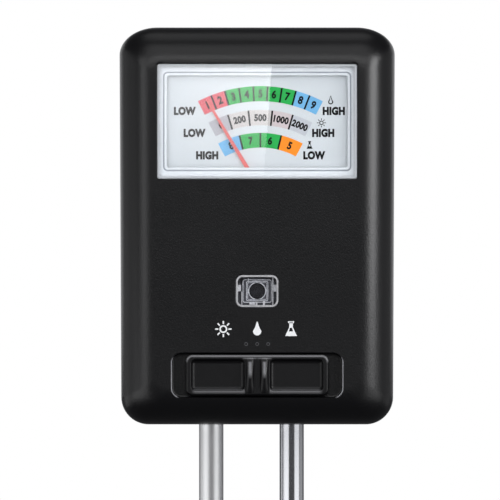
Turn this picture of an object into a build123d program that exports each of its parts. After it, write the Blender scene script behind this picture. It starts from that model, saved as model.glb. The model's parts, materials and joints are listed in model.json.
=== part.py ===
from build123d import *
import os
from math import cos, pi, radians, sin

# Soil moisture meter, in millimetres. X to the right, Y to the back, Z up.
# The origin is on the underside of the housing, midway across it and on the plane where the two
# shells meet. The front faces -Y, the probes hang below and their axes lie in the plane Y = 0.

# Fits and small screws
RUNNING_GAP = 0.05
CLEAR = 1.0  # how far a cut runs past the face that it opens
ROOT = 0.4  # how far a post or a rail is sunk into the wall that it grows from
HOLE_SPARE = 0.5  # free depth beyond a screw's end
THREAD_RADIUS = 0.95
THREAD_HOLE = 1.0
THREAD_PASS = 1.1
SLOT_SHARE = 0.3  # width of a screw's slot as a share of the head's radius

# Housing
BODY_TOP_WIDTH = 65.2
BODY_BOTTOM_WIDTH = 64.4
BODY_HEIGHT = 94.0
BODY_HALF_DEPTH = 18.0
TOP_CORNER = (9.0, 6.6)  # half axes of the elliptical corner, across and up
BOTTOM_CORNER = (6.5, 6.5)
FRONT_SHOULDER = (8.3, 8.0)  # how far the rounded edge runs across the face, and back from it
REAR_SHOULDER = (5.0, 4.5)
SHOULDER_STEPS = 6
CORNER_SHRINK = 0.6  # share of the corner's size that is gone where the shoulder meets the face
WALL = 2.2
FACE_WALL = 2.4
FRONT_Y = -BODY_HALF_DEPTH
INNER_Y = FRONT_Y + FACE_WALL  # inner side of the front wall
REAR_INNER_Y = BODY_HALF_DEPTH - FACE_WALL
LABEL_SIZE = (38.0, 30.0)  # shallow bare field on the back
LABEL_CORNER = 2.5
LABEL_DEPTH = 0.35
LABEL_Z = 52.0

# Screws that close the housing
CASE_SCREW_POINTS = [(-27.0, 83.0), (27.0, 83.0), (-26.6, 6.4), (26.6, 6.4)]
FRONT_POST_RADIUS = 2.2
REAR_POST_RADIUS = 2.9
CASE_SCREW_RADIUS = 1.05
CASE_HEAD_RADIUS = 2.1
CASE_HEAD_HEIGHT = 1.7
CASE_WELL_RADIUS = 2.3
CASE_WELL_FLOOR = 6.0
CASE_SCREW_REACH = -8.0

# Dial window and what lies behind it
WINDOW_SIZE = (47.3, 27.2)
WINDOW_Z = 71.7
WINDOW_CORNER = 0.5
WINDOW_FIT = 0.12
WINDOW_SINK = 0.25  # how far the clear face lies below the housing's face
FLANGE_SIZE = (49.4, 29.0)
FLANGE_CORNER = 1.0
FLANGE_THICKNESS = 0.8
BEZEL_OPENING = (42.8, 21.8)
BEZEL_CORNER = 0.7
BEZEL_THICKNESS = 0.8
BEZEL_SKIRT = 1.0
SKIRT_CORNER = 0.5
SKIRT_GAP = (34.0, 3.0)  # opening in the skirt for the dial's tongue
DIAL_FRONT = -12.6
DIAL_THICKNESS = 0.5
DIAL_WIDTH = 48.4
DIAL_CORNER = 0.6
TONGUE_WIDTH = 36.0
TONGUE_BOTTOM = 46.0
TONGUE_OVERLAP = 5.0
DIAL_BORE = 2.0
DIAL_SCREW_X = 14.5
DIAL_SCREW_Z = 49.5
DIAL_SCREW_HEAD = (1.7, 0.8)  # radius and height
DIAL_SCREW_REACH = -9.2
DIAL_BOSS_RADIUS = 2.2
DIAL_BOSS_BACK = -9.0

# Meter movement
PIVOT_X = 0.76
PIVOT_Z = 55.5
POINTER_REST = -30.8  # degrees from upright, negative to the left
POINTER_LENGTH = 24.6
POINTER_ROOT_WIDTH = 1.1
POINTER_TIP_WIDTH = 0.5
POINTER_FRONT = -13.6
POINTER_THICKNESS = 0.4
TAIL_LENGTH = 4.6
TAIL_WIDTH = 0.6
HUB_RADIUS = 1.6
WEIGHT_RADIUS = 0.54
WEIGHT_BORE = 0.37
WEIGHT_LENGTH = 1.6
WEIGHT_REACH = 3.4
STAFF_RADIUS = 0.45
COLLET_RADIUS = 0.9
STOP_ANGLE = 45.5
STOP_RADIUS = 0.4
STOP_REACH = 5.2
STOP_FRONT = -14.0
CORE_RADIUS = 5.2
CORE_FRONT = -9.3
CORE_BACK = -3.7
YOKE_INNER = 8.2
YOKE_OUTER = 10.0
YOKE_FRONT = -9.9
YOKE_BACK = -3.1
BRACKET_WIDTH = 4.0
BRACKET_THICKNESS = 0.5
BRACKET_FIT = 0.4
BASE_FRONT = DIAL_FRONT + DIAL_THICKNESS
BASE_THICKNESS = 1.4
BASE_BOTTOM = 42.0
BASE_RING = 11.6
BASE_BORE = 9.0
METER_SCREW_X = 21.8
METER_SCREW_Z = 49.5
METER_SCREW_DEPTH = 2.2
METER_POST_RADIUS = 2.3
SCREW_HEAD = (1.9, 1.2)  # radius and height of the meter's and the clamp's screws
COIL_INNER = (11.4, 7.1)  # opening of the former, across and front to back
COIL_MIDDLE_Y = -6.25
FORMER_WALL = 0.3
FORMER_WIDTH = 3.0
WINDING_THICKNESS = 0.9
WINDING_WIDTH = 2.4
BRIDGE_HALF = 10.5
BRIDGE_HEIGHT = 3.2
BRIDGE_THICKNESS = 0.7
BRIDGE_MARGIN = 1.6  # strap beyond the middle of a post
BRIDGE_CORNER = 1.0
FRONT_BRIDGE_Y = -14.9
FRONT_POST = 1.0
REAR_BRIDGE_Y = 0.4
REAR_POST = 0.75
JEWEL_RADIUS = 1.1
JEWEL_SLOT = (3.0, 0.4)
JEWEL_SLOT_DEPTH = 0.35
FRONT_JEWEL = (-15.45, -13.85, -14.5)  # outer end, inner end and floor of the cup
REAR_JEWEL = (1.8, -0.2, 1.0)
STAFF_ENDS = (-14.35, 0.9)
COLLET_ENDS = (-12.1, -0.4)
SPRING_TURNS = 4
SPRING_INNER = 1.05
SPRING_PITCH = 0.55
SPRING_STRIP = (0.12, 0.4)
FRONT_SPRING_Y = -11.85
REAR_SPRING_Y = -0.95
LUG = 0.8  # half width and thickness of the lugs that the outer ends are fixed to
FINGER_REACH = 9.4
REAR_LUG_FRONT = -1.0

# Terminals and leads of the meter
TERMINAL_X = 16.0
TAB_SIZE = (3.0, 0.5)
TAB_SPAN = (43.0, 46.6)
PIN_WIDTH = 1.6
PIN_SPAN = (43.6, 44.2)
PIN_BACK = -5.0

# Light sensor
LIGHT_Z = 31.6
LIGHT_SIZE = (10.3, 7.8)
LIGHT_CORNER = 1.7
LIGHT_FLANGE = (13.0, 10.4)
LIGHT_POCKET = (7.4, 6.8)
POCKET_CORNER = 0.4
POCKET_DEPTH = 1.0
HOLDER_FIT = 0.1
HOLDER_CORNER = 0.3
HOLDER_FLANGE = 0.9
HOLDER_BACK = -11.6
HOLDER_OPENING = (5.4, 4.8)
OPENING_CORNER = 0.2
CELL_RADIUS = 1.9
CELL_ENDS = (-15.3, -12.6)
CELL_PIN_X = 1.0
CELL_PIN_RADIUS = 0.25
CELL_PIN_HOLE = 0.35

# Slide switch
SWITCH_Z = 11.7
SWITCH_TRAVEL = 2.61
RECESS_SIZE = (40.3, 10.6)
RECESS_CORNER = 2.3
RECESS_FLOOR = 1.6
TUB_SIZE = (44.0, 14.2)
TUB_CORNER = 3.5
KNOB_SIZE = (33.8, 9.65)
KNOB_CORNER = 1.6
KNOB_EDGE = 0.45
KNOB_FLOOR_GAP = 0.1
PAN_SIZE = (12.6, 7.4)
PAN_CORNER = 1.0
PAN_FLOOR_EDGE = 0.8
PAN_DEPTH = 1.1
PAN_X = 9.3
RIB_SIZE = (1.75, 8.2)
RIB_CORNER = 0.5
RIB_EDGE = 0.4
RIB_X = 1.65
RIB_PROUD = 1.2
RIB_ROOT = 0.6
STEM_SIZE = (9.0, 3.0)
SLOT_FIT = 0.3
CARRIAGE_SIZE = (17.0, 10.6)
CARRIAGE_FRONT = INNER_Y + RECESS_FLOOR + 0.1
CARRIAGE_THICKNESS = 2.3
CARRIAGE_CORNER = 0.3
SPRING_POCKET = (10.4, 1.3)  # opening for the detent spring, across and up
POCKET_SKIN = 0.3
RAIL_THICKNESS = 1.4
RAIL_GAP = 0.1
RAIL_LENGTH = 27.0
RAIL_BACK = -11.0
NOTCH_HALF_WIDTH = 0.75
NOTCH_DEPTH = 0.5
NOTCH_OVERLAP = 0.01
DETENT_BENDS = [(-4.8, 1.18), (-1.4, 0.45), (0, -0.38), (1.4, 0.45), (4.8, 1.18)]
DETENT_RADII = [1.0, 0.3, 1.0]
DETENT_STRIP = (0.15, 1.5)  # thickness and width
WIPER_STRIP = (0.2, 0.9)
WIPER_BASE = (4.4, 3.9, 5.1)  # width, and the two distances between which it lies
WIPER_BEND = 0.3

# Circuit board
BOARD_SIZE = (40.0, 35.0)
BOARD_Z = 21.0
BOARD_FRONT = -8.0
BOARD_THICKNESS = 1.6
BOARD_BACK = BOARD_FRONT + BOARD_THICKNESS
BOARD_CORNER = 1.0
BOARD_SCREW_POINTS = [(-17.0, 6.0), (17.0, 6.0), (-17.0, 35.5), (17.0, 35.5)]
BOARD_SCREW_HEAD = (1.8, 1.2)
BOARD_SCREW_DEPTH = 4.0
BOARD_POST_RADIUS = 2.2
PAD_SIZE = (1.9, 3.4)
PAD_CORNER = 0.3
PAD_PLACES = (-1.5, -0.5, 0.5, 1.5)  # in steps of the switch's travel
PAD_THICKNESS = 0.06
PAD_ROW = 2.4
RESISTOR_POINTS = [(-8.0, 24.0), (0.0, 27.0), (8.0, 21.0)]
RESISTOR_RADIUS = 0.85
RESISTOR_LENGTH = 3.6
RESISTOR_FOOT = 3.05
RESISTOR_WIRE = 0.25
RESISTOR_BEND = 0.5
RESISTOR_LIFT = 0.3  # gap between a resistor's body and the board

# Probes
PROBE_LEFT_X = -10.9
PROBE_RIGHT_X = 8.2
PROBE_LENGTH = 195.0
PROBE_RADIUS = 2.9
PROBE_TIP_LENGTH = 9.0
PROBE_TIP_RADIUS = 0.3
SHANK_RADIUS = 2.5
SHANK_TOP = 17.0
GROOVE = (8.5, 10.5)
GROOVE_RADIUS = 1.8
NECK_RADIUS = 1.4
RIVET_RADIUS = 2.1
RIVET_HEIGHT = 0.8
COLLAR_TOP = 6.7
CLAMP_FLANGE_Y = 9.0
CLAMP_THICKNESS = 1.4
CLAMP_MARGIN = 5.0  # clamp beyond the axis of a probe
CLAMP_FRONT = -2.4
CLAMP_RISE = 3.2  # flange above the middle of its screws
CLAMP_SCREW_X = 3.5
CLAMP_SCREW_Z = 14.8
CLAMP_SCREW_LENGTH = 6.0
CLAMP_POST_RADIUS = 2.3
TAG_RADIUS = 2.4
TAG_TONGUE = (1.8, 1.5, 6.4)  # width, and the two depths between which it lies
TAG_THICKNESS = 0.5

# Leads, as points on their middle line
LEAD_RADIUS = 0.45
METER_LEAD_PATH = [
    (16.0, -5.6, 43.6),
    (16.0, -5.6, 40.4),
    (14.4, -4.0, 37.6),
    (11.6, -3.2, 35.6),
    (11.6, BOARD_BACK, 35.6),
]
METER_LEAD_BENDS = [1.3, 1.5, 1.2]
PROBE_LEAD_PATH = [  # x as a share of the probe's, and z above the probe's tag
    (1.0, 5.6, 0.0),
    (1.0, 5.6, 4.0),
    (0.95, 3.4, 8.5),
    (0.9, -1.4, 12.4),
    (0.9, BOARD_BACK, 12.4),
]
PROBE_LEAD_BENDS = [3.0, 3.0, 2.6]

PROBES_X = (PROBE_LEFT_X, PROBE_RIGHT_X)
PROBE_MIDDLE_X = (PROBE_LEFT_X + PROBE_RIGHT_X) / 2


def facing(x, y, z):
    """Plane through a point, with its normal out of the front."""
    return Plane((x, y, z), x_dir=(1, 0, 0), z_dir=(0, -1, 0))


def plate(size, corner, y0, y1, x=0.0, z=0.0):
    """Plate parallel to the front, from depth y0 back to y1."""
    flat = RectangleRounded(*size, corner) if corner else Rectangle(*size)
    return extrude(facing(x, y1, z) * flat, amount=y1 - y0)


def rod(radius, y0, y1, x=0.0, z=0.0):
    """Round bar along Y."""
    return extrude(facing(x, y1, z) * Circle(radius), amount=y1 - y0)


def tube(outer, inner, y0, y1, x=0.0, z=0.0):
    """Round tube along Y."""
    return rod(outer, y0, y1, x, z) - rod(inner, y0, y1, x, z)


def block(x0, x1, y0, y1, z0, z1):
    """Box between its lowest and highest corners."""
    return Pos((x0 + x1) / 2, (y0 + y1) / 2, (z0 + z1) / 2) * Box(x1 - x0, y1 - y0, z1 - z0)


def upright(radius, z0, z1, x=0.0, y=0.0):
    """Round bar along Z."""
    return Pos(x, y, (z0 + z1) / 2) * Cylinder(radius, z1 - z0)


def screw(x, y_head, z, head, shank, reach):
    """Cross-head screw that is driven from the back: its head sits on y_head, its shank ends at reach."""
    radius, height = head
    top = y_head + height
    body = rod(radius, y_head, top, x, z) + rod(shank, reach, y_head, x, z)
    slot = (radius, radius * SLOT_SHARE)
    body -= plate(slot, 0, top - height / 2, top, x, z)
    return body - plate(slot[::-1], 0, top - height / 2, top, x, z)


def front_screw(x, y_head, z, head, shank, reach):
    """Slotted screw driven from the front: its head lies in front of y_head."""
    radius, height = head
    body = rod(radius, y_head - height, y_head, x, z) + rod(shank, y_head, reach, x, z)
    slot = (2 * radius, radius * SLOT_SHARE)
    return body - plate(slot, 0, y_head - height, y_head - height / 2, x, z)


def wire(points, radii, radius):
    """Round insulated lead along straight runs joined by tangent arcs."""
    path = FilletPolyline(*points, radius=radii)
    start = Plane(origin=points[0], z_dir=Vector(*points[1]) - Vector(*points[0]))
    lead = sweep(start * Circle(radius), path=path)
    share = lead.volume / (pi * radius**2 * path.length)
    print(f"lead: {path.length:.1f} mm long, radii {radii}, volume over section times length {share:.3f}")
    return lead


def outline(inset, y):
    """Outline of the housing on the plane at depth y, drawn in from the widest section."""
    plane = facing(0, y, 0)
    scale = 1 - CORNER_SHRINK * inset / FRONT_SHOULDER[0]
    half_top = BODY_TOP_WIDTH / 2 - inset
    half_bottom = BODY_BOTTOM_WIDTH / 2 - inset
    top = BODY_HEIGHT - inset
    top_x, top_z = (axis * scale for axis in TOP_CORNER)
    low_x, low_z = (axis * scale for axis in BOTTOM_CORNER)
    edges = [
        Line((half_bottom, inset + low_z), (half_top, top - top_z)),
        EllipticalCenterArc((half_top - top_x, top - top_z), top_x, top_z, 0),
        Line((half_top - top_x, top), (top_x - half_top, top)),
        EllipticalCenterArc((top_x - half_top, top - top_z), top_x, top_z, 90),
        Line((-half_top, top - top_z), (-half_bottom, inset + low_z)),
        EllipticalCenterArc((low_x - half_bottom, inset + low_z), low_x, low_z, 180),
        Line((low_x - half_bottom, inset), (half_bottom - low_x, inset)),
        EllipticalCenterArc((half_bottom - low_x, inset + low_z), low_x, low_z, 270),
    ]
    return plane * make_face(edges)


def pillow(side, shoulder, wall, face_wall):
    """Solid from the parting plane to the rounded face. side is -1 at the front and 1 at the back."""
    run, rise = shoulder[0] - wall, shoulder[1] - face_wall
    start = side * (BODY_HALF_DEPTH - shoulder[1])
    straight = extrude(outline(wall, 0), amount=abs(start), dir=(0, side, 0))
    sections = []
    for step in range(SHOULDER_STEPS + 1):
        turn = pi / 2 * step / SHOULDER_STEPS
        sections.append(outline(wall + run * (1 - cos(turn)), start + side * rise * sin(turn)))
    return straight + loft(sections)


def probe_holes():
    """What the two shanks take out of the bottom wall and the collars above it."""
    radius = SHANK_RADIUS + RUNNING_GAP
    return [upright(radius, -CLEAR, COLLAR_TOP + CLEAR, x) for x in PROBES_X]


def collar(x, side):
    """Half of the block that holds a shank, inside one of the shells."""
    reach = SHANK_RADIUS + WALL
    return block(x - reach, x + reach, *sorted((0, side * reach)), WALL / 2, COLLAR_TOP)


def front_cover():
    shell = pillow(-1, FRONT_SHOULDER, 0, 0)
    cover = shell - pillow(-1, FRONT_SHOULDER, WALL, FACE_WALL)
    root = INNER_Y - ROOT
    inner = [plate(TUB_SIZE, TUB_CORNER, root, INNER_Y + RECESS_FLOOR, 0, SWITCH_Z)]
    rail_offset = CARRIAGE_SIZE[1] / 2 + RAIL_GAP + RAIL_THICKNESS / 2
    for side in (-1, 1):
        z = SWITCH_Z + side * rail_offset
        inner.append(plate((RAIL_LENGTH, RAIL_THICKNESS), 0, INNER_Y, RAIL_BACK, 0, z))
        inner.append(rod(METER_POST_RADIUS, root, BASE_FRONT, side * METER_SCREW_X, METER_SCREW_Z))
    inner += [rod(FRONT_POST_RADIUS, root, 0, x, z) for x, z in CASE_SCREW_POINTS]
    inner += [rod(BOARD_POST_RADIUS, root, BOARD_FRONT, x, z) for x, z in BOARD_SCREW_POINTS]
    inner += [collar(x, -1) for x in PROBES_X]
    for piece in inner:
        cover += piece & shell
    outside = FRONT_Y - CLEAR
    cover -= plate(WINDOW_SIZE, WINDOW_CORNER, outside, INNER_Y + CLEAR, 0, WINDOW_Z)
    cover -= plate(LIGHT_SIZE, LIGHT_CORNER, outside, INNER_Y + CLEAR, 0, LIGHT_Z)
    cover -= plate(RECESS_SIZE, RECESS_CORNER, outside, INNER_Y, 0, SWITCH_Z)
    slot = (STEM_SIZE[0] + 2 * SWITCH_TRAVEL + SLOT_FIT, STEM_SIZE[1] + SLOT_FIT)
    cover -= plate(slot, 0, INNER_Y - CLEAR, INNER_Y + RECESS_FLOOR + CLEAR, 0, SWITCH_Z)
    rail_face = SWITCH_Z - CARRIAGE_SIZE[1] / 2 - RAIL_GAP
    for place in (-1, 0, 1):
        x = place * SWITCH_TRAVEL
        left, right = x - NOTCH_HALF_WIDTH, x + NOTCH_HALF_WIDTH
        corners = [(left, NOTCH_OVERLAP), (right, NOTCH_OVERLAP), (x, -NOTCH_DEPTH)]
        notch = make_face(Polyline(*corners, close=True))
        cover -= extrude(facing(0, RAIL_BACK, rail_face) * notch, amount=RAIL_BACK - CARRIAGE_FRONT)
    end = CASE_SCREW_REACH - HOLE_SPARE
    for x, z in CASE_SCREW_POINTS:
        cover -= rod(CASE_SCREW_RADIUS + RUNNING_GAP, end, CLEAR, x, z)
    end = BOARD_FRONT - BOARD_SCREW_DEPTH - HOLE_SPARE
    for x, z in BOARD_SCREW_POINTS:
        cover -= rod(THREAD_HOLE, end, BOARD_FRONT + CLEAR, x, z)
    end = BASE_FRONT - METER_SCREW_DEPTH - HOLE_SPARE
    for side in (-1, 1):
        cover -= rod(THREAD_HOLE, end, BASE_FRONT + CLEAR, side * METER_SCREW_X, METER_SCREW_Z)
    for hole in probe_holes():
        cover -= hole
    return cover


def clamp_points():
    """Middles of the two screws that hold the clamp."""
    return [(PROBE_MIDDLE_X + side * CLAMP_SCREW_X, CLAMP_SCREW_Z) for side in (-1, 1)]


def rear_cover():
    shell = pillow(1, REAR_SHOULDER, 0, 0)
    cover = shell - pillow(1, REAR_SHOULDER, WALL, FACE_WALL)
    root = REAR_INNER_Y + ROOT
    inner = [rod(REAR_POST_RADIUS, 0, root, x, z) for x, z in CASE_SCREW_POINTS]
    inner += [rod(CLAMP_POST_RADIUS, CLAMP_FLANGE_Y, root, x, z) for x, z in clamp_points()]
    inner += [collar(x, 1) for x in PROBES_X]
    for piece in inner:
        cover += piece & shell
    for x, z in CASE_SCREW_POINTS:
        cover -= rod(CASE_WELL_RADIUS, CASE_WELL_FLOOR, BODY_HALF_DEPTH + CLEAR, x, z)
        cover -= rod(CASE_SCREW_RADIUS + RUNNING_GAP, -CLEAR, CASE_WELL_FLOOR + CLEAR, x, z)
    end = CLAMP_FLANGE_Y - CLAMP_THICKNESS + CLAMP_SCREW_LENGTH + HOLE_SPARE
    for x, z in clamp_points():
        cover -= rod(THREAD_HOLE, CLAMP_FLANGE_Y - CLEAR, end, x, z)
    for hole in probe_holes():
        cover -= hole
    floor = BODY_HALF_DEPTH - LABEL_DEPTH
    return cover - plate(LABEL_SIZE, LABEL_CORNER, floor, BODY_HALF_DEPTH + CLEAR, 0, LABEL_Z)


def case_screws():
    head = (CASE_HEAD_RADIUS, CASE_HEAD_HEIGHT)
    return [
        screw(x, CASE_WELL_FLOOR, z, head, CASE_SCREW_RADIUS, CASE_SCREW_REACH)
        for x, z in CASE_SCREW_POINTS
    ]


def meter_window():
    boss = tuple(side - 2 * WINDOW_FIT for side in WINDOW_SIZE)
    pane = plate(boss, WINDOW_CORNER, FRONT_Y + WINDOW_SINK, INNER_Y, 0, WINDOW_Z)
    return pane + plate(FLANGE_SIZE, FLANGE_CORNER, INNER_Y, INNER_Y + FLANGE_THICKNESS, 0, WINDOW_Z)


def dial_bezel():
    front = INNER_Y + FLANGE_THICKNESS
    back = front + BEZEL_THICKNESS
    frame = plate(FLANGE_SIZE, FLANGE_CORNER, front, back, 0, WINDOW_Z)
    inside = tuple(side - 2 * BEZEL_SKIRT for side in FLANGE_SIZE)
    skirt = plate(FLANGE_SIZE, FLANGE_CORNER, back, DIAL_FRONT, 0, WINDOW_Z)
    skirt -= plate(inside, SKIRT_CORNER, back, DIAL_FRONT, 0, WINDOW_Z)
    low = WINDOW_Z - FLANGE_SIZE[1] / 2
    half, height = SKIRT_GAP[0] / 2, SKIRT_GAP[1]
    skirt -= block(-half, half, back, DIAL_FRONT, low - CLEAR, low + height)
    return frame + skirt - plate(BEZEL_OPENING, BEZEL_CORNER, front - CLEAR, back + CLEAR, 0, WINDOW_Z)


def dial_plate():
    before, behind = DIAL_FRONT - CLEAR, BASE_FRONT + CLEAR
    top = WINDOW_Z + FLANGE_SIZE[1] / 2
    half = TONGUE_WIDTH / 2
    dial = plate((DIAL_WIDTH, FLANGE_SIZE[1]), DIAL_CORNER, DIAL_FRONT, BASE_FRONT, 0, WINDOW_Z)
    dial += block(-half, half, DIAL_FRONT, BASE_FRONT, TONGUE_BOTTOM, top - TONGUE_OVERLAP)
    dial -= rod(DIAL_BORE, before, behind, PIVOT_X, PIVOT_Z)
    slot = (PIVOT_X - DIAL_BORE, PIVOT_X + DIAL_BORE)
    dial -= block(*slot, before, behind, TONGUE_BOTTOM - CLEAR, PIVOT_Z)
    for side in (-1, 1):
        dial -= rod(THREAD_PASS, before, behind, side * DIAL_SCREW_X, DIAL_SCREW_Z)
        dial -= rod(FRONT_POST + RUNNING_GAP, before, behind, PIVOT_X + side * BRIDGE_HALF, PIVOT_Z)
        dial -= rod(STOP_RADIUS, before, behind, *stop_point(side))
    return dial


def stop_point(side):
    """Where one of the two pins that stop the pointer stands."""
    turn = radians(side * STOP_ANGLE)
    return PIVOT_X + STOP_REACH * sin(turn), PIVOT_Z + STOP_REACH * cos(turn)


def dial_screws():
    return [
        front_screw(x, DIAL_FRONT, DIAL_SCREW_Z, DIAL_SCREW_HEAD, THREAD_RADIUS, DIAL_SCREW_REACH)
        for x in (-DIAL_SCREW_X, DIAL_SCREW_X)
    ]


def meter_base():
    before = BASE_FRONT - CLEAR
    back = BASE_FRONT + BASE_THICKNESS
    height = WINDOW_Z + FLANGE_SIZE[1] / 2 - BASE_BOTTOM
    middle = BASE_BOTTOM + height / 2
    base = plate((FLANGE_SIZE[0], height), FLANGE_CORNER, BASE_FRONT, back, 0, middle)
    base += rod(BASE_RING, back, YOKE_BACK, PIVOT_X, PIVOT_Z)
    base -= rod(YOKE_OUTER + RUNNING_GAP, YOKE_FRONT, YOKE_BACK + CLEAR, PIVOT_X, PIVOT_Z)
    base -= rod(BASE_BORE, before, YOKE_FRONT + CLEAR, PIVOT_X, PIVOT_Z)
    for side in (-1, 1):
        x = side * DIAL_SCREW_X
        base -= rod(THREAD_HOLE, before, back + CLEAR, side * METER_SCREW_X, METER_SCREW_Z)
        boss = rod(DIAL_BOSS_RADIUS, back - ROOT / 2, DIAL_BOSS_BACK, x, DIAL_SCREW_Z)
        base += boss - rod(BASE_RING, back - CLEAR, 0, PIVOT_X, PIVOT_Z)
        base -= rod(THREAD_HOLE, before, DIAL_SCREW_REACH, x, DIAL_SCREW_Z)
        base -= rod(FRONT_POST, before, BASE_FRONT + CLEAR, PIVOT_X + side * BRIDGE_HALF, PIVOT_Z)
        base -= rod(STOP_RADIUS, before, BASE_FRONT + CLEAR, *stop_point(side))
    start = PIVOT_X + spring_outer() + SPRING_STRIP[0] / 2
    end = PIVOT_X + FINGER_REACH
    return base + block(start, end, BASE_FRONT, BASE_FRONT + LUG, PIVOT_Z - LUG, PIVOT_Z + LUG)


def meter_screws():
    back = BASE_FRONT + BASE_THICKNESS
    end = BASE_FRONT - METER_SCREW_DEPTH
    return [
        screw(x, back, METER_SCREW_Z, SCREW_HEAD, THREAD_RADIUS, end)
        for x in (-METER_SCREW_X, METER_SCREW_X)
    ]


def meter_yoke():
    return tube(YOKE_OUTER, YOKE_INNER, YOKE_FRONT, YOKE_BACK, PIVOT_X, PIVOT_Z)


def core_magnet():
    return rod(CORE_RADIUS, CORE_FRONT, CORE_BACK, PIVOT_X, PIVOT_Z)


def core_bracket():
    x0, x1 = PIVOT_X - BRACKET_WIDTH / 2, PIVOT_X + BRACKET_WIDTH / 2
    foot_back = YOKE_BACK + BRACKET_THICKNESS
    bend = YOKE_INNER - BRACKET_FIT
    z0, z1 = PIVOT_Z - bend, PIVOT_Z + bend
    bracket = block(x0, x1, CORE_BACK, CORE_BACK + BRACKET_THICKNESS, z0, z1)
    for side in (-1, 1):
        riser = sorted(PIVOT_Z + side * reach for reach in (bend - BRACKET_THICKNESS, bend))
        foot = sorted(PIVOT_Z + side * reach for reach in (bend - BRACKET_THICKNESS, YOKE_OUTER))
        bracket += block(x0, x1, CORE_BACK, foot_back, *riser)
        bracket += block(x0, x1, YOKE_BACK, foot_back, *foot)
    return bracket


def bridge(y, post_end, post_radius, post_offset):
    """Strap across the pivot on two posts, with a hole for the jewel screw."""
    back = y + BRIDGE_THICKNESS
    size = (2 * (post_offset + BRIDGE_MARGIN), BRIDGE_HEIGHT)
    strap = plate(size, BRIDGE_CORNER, y, back, PIVOT_X, PIVOT_Z)
    strap -= rod(JEWEL_RADIUS, y - CLEAR, back + CLEAR, PIVOT_X, PIVOT_Z)
    for side in (-1, 1):
        strap += rod(post_radius, *sorted((y, post_end)), PIVOT_X + side * post_offset, PIVOT_Z)
    return strap


def front_bridge():
    return bridge(FRONT_BRIDGE_Y, BASE_FRONT + CLEAR, FRONT_POST, BRIDGE_HALF)


def rear_bridge():
    post_offset = (YOKE_OUTER + RUNNING_GAP + BASE_RING) / 2
    strap = bridge(REAR_BRIDGE_Y, YOKE_BACK, REAR_POST, post_offset)
    start = PIVOT_X + spring_outer() + SPRING_STRIP[0] / 2
    return strap + block(start, start + LUG, REAR_LUG_FRONT, REAR_BRIDGE_Y, PIVOT_Z - LUG, PIVOT_Z + LUG)


def jewel_screw(outer_y, inner_y, cup_y):
    """Slotted screw whose inner end holds the jewel: a blind cup in which the staff turns."""
    inward = 1 if inner_y > outer_y else -1
    body = rod(JEWEL_RADIUS, *sorted((outer_y, inner_y)), PIVOT_X, PIVOT_Z)
    body -= rod(STAFF_RADIUS + RUNNING_GAP, *sorted((cup_y, inner_y)), PIVOT_X, PIVOT_Z)
    slot = sorted((outer_y, outer_y + inward * JEWEL_SLOT_DEPTH))
    return body - plate(JEWEL_SLOT, 0, *slot, PIVOT_X, PIVOT_Z)


def jewel_screws():
    return [jewel_screw(*FRONT_JEWEL), jewel_screw(*REAR_JEWEL)]


def spring_outer():
    """Radius at which the hairspring ends."""
    return SPRING_INNER + SPRING_TURNS * SPRING_PITCH


def hairspring(y):
    """Flat spiral of half circles, each a quarter of the pitch to one side of the next."""
    half = SPRING_STRIP[0] / 2
    edges = []
    for offset in (-half, half):
        radius, centre, start = SPRING_INNER, 0.0, 0
        for _ in range(2 * SPRING_TURNS):
            edges.append(CenterArc((centre, 0), radius + offset, start, 180))
            sign = 1 if start == 0 else -1
            centre += sign * SPRING_PITCH / 2
            radius += SPRING_PITCH / 2
            start = 180 - start
    inner, outer = SPRING_INNER, spring_outer()
    edges.append(Line((inner - half, 0), (inner + half, 0)))
    edges.append(Line((outer - half, 0), (outer + half, 0)))
    flat = make_face(edges)
    return extrude(facing(PIVOT_X, y + SPRING_STRIP[1], PIVOT_Z) * flat, amount=SPRING_STRIP[1])


def pointer_stops():
    points = [stop_point(side) for side in (-1, 1)]
    return [rod(STOP_RADIUS, STOP_FRONT, BASE_FRONT + CLEAR, x, z) for x, z in points]


def meter_terminals():
    front = BASE_FRONT + BASE_THICKNESS
    tabs = []
    for x in (-TERMINAL_X, TERMINAL_X):
        tab = block(x - TAB_SIZE[0] / 2, x + TAB_SIZE[0] / 2, front, front + TAB_SIZE[1], *TAB_SPAN)
        tabs.append(tab + block(x - PIN_WIDTH / 2, x + PIN_WIDTH / 2, front, PIN_BACK, *PIN_SPAN))
    return tabs


def meter_leads():
    leads = []
    for side in (-1, 1):
        points = [(side * x, y, z) for x, y, z in METER_LEAD_PATH]
        leads.append(wire(points, METER_LEAD_BENDS, LEAD_RADIUS))
    return leads


def turned(piece):
    """Turns a piece of the movement from upright to where the pointer rests."""
    return piece.rotate(Axis((PIVOT_X, 0, PIVOT_Z), (0, 1, 0)), POINTER_REST)


def pointer_needle():
    root, tip = POINTER_ROOT_WIDTH / 2, POINTER_TIP_WIDTH / 2
    corners = [(-root, 0), (root, 0), (tip, POINTER_LENGTH), (-tip, POINTER_LENGTH)]
    flat = make_face(Polyline(*corners, close=True))
    flat += Circle(HUB_RADIUS)
    flat += Pos(0, -TAIL_LENGTH / 2) * Rectangle(TAIL_WIDTH, TAIL_LENGTH)
    flat += Rectangle(2 * TAIL_LENGTH, TAIL_WIDTH)
    flat -= Circle(STAFF_RADIUS)
    back = POINTER_FRONT + POINTER_THICKNESS
    return turned(extrude(facing(PIVOT_X, back, PIVOT_Z) * flat, amount=POINTER_THICKNESS))


def coil_front():
    """Depth of the winding's front face; its back face is as far behind the middle."""
    return COIL_MIDDLE_Y - COIL_INNER[1] / 2 - FORMER_WALL - WINDING_THICKNESS


def coil_back():
    return 2 * COIL_MIDDLE_Y - coil_front()


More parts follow.
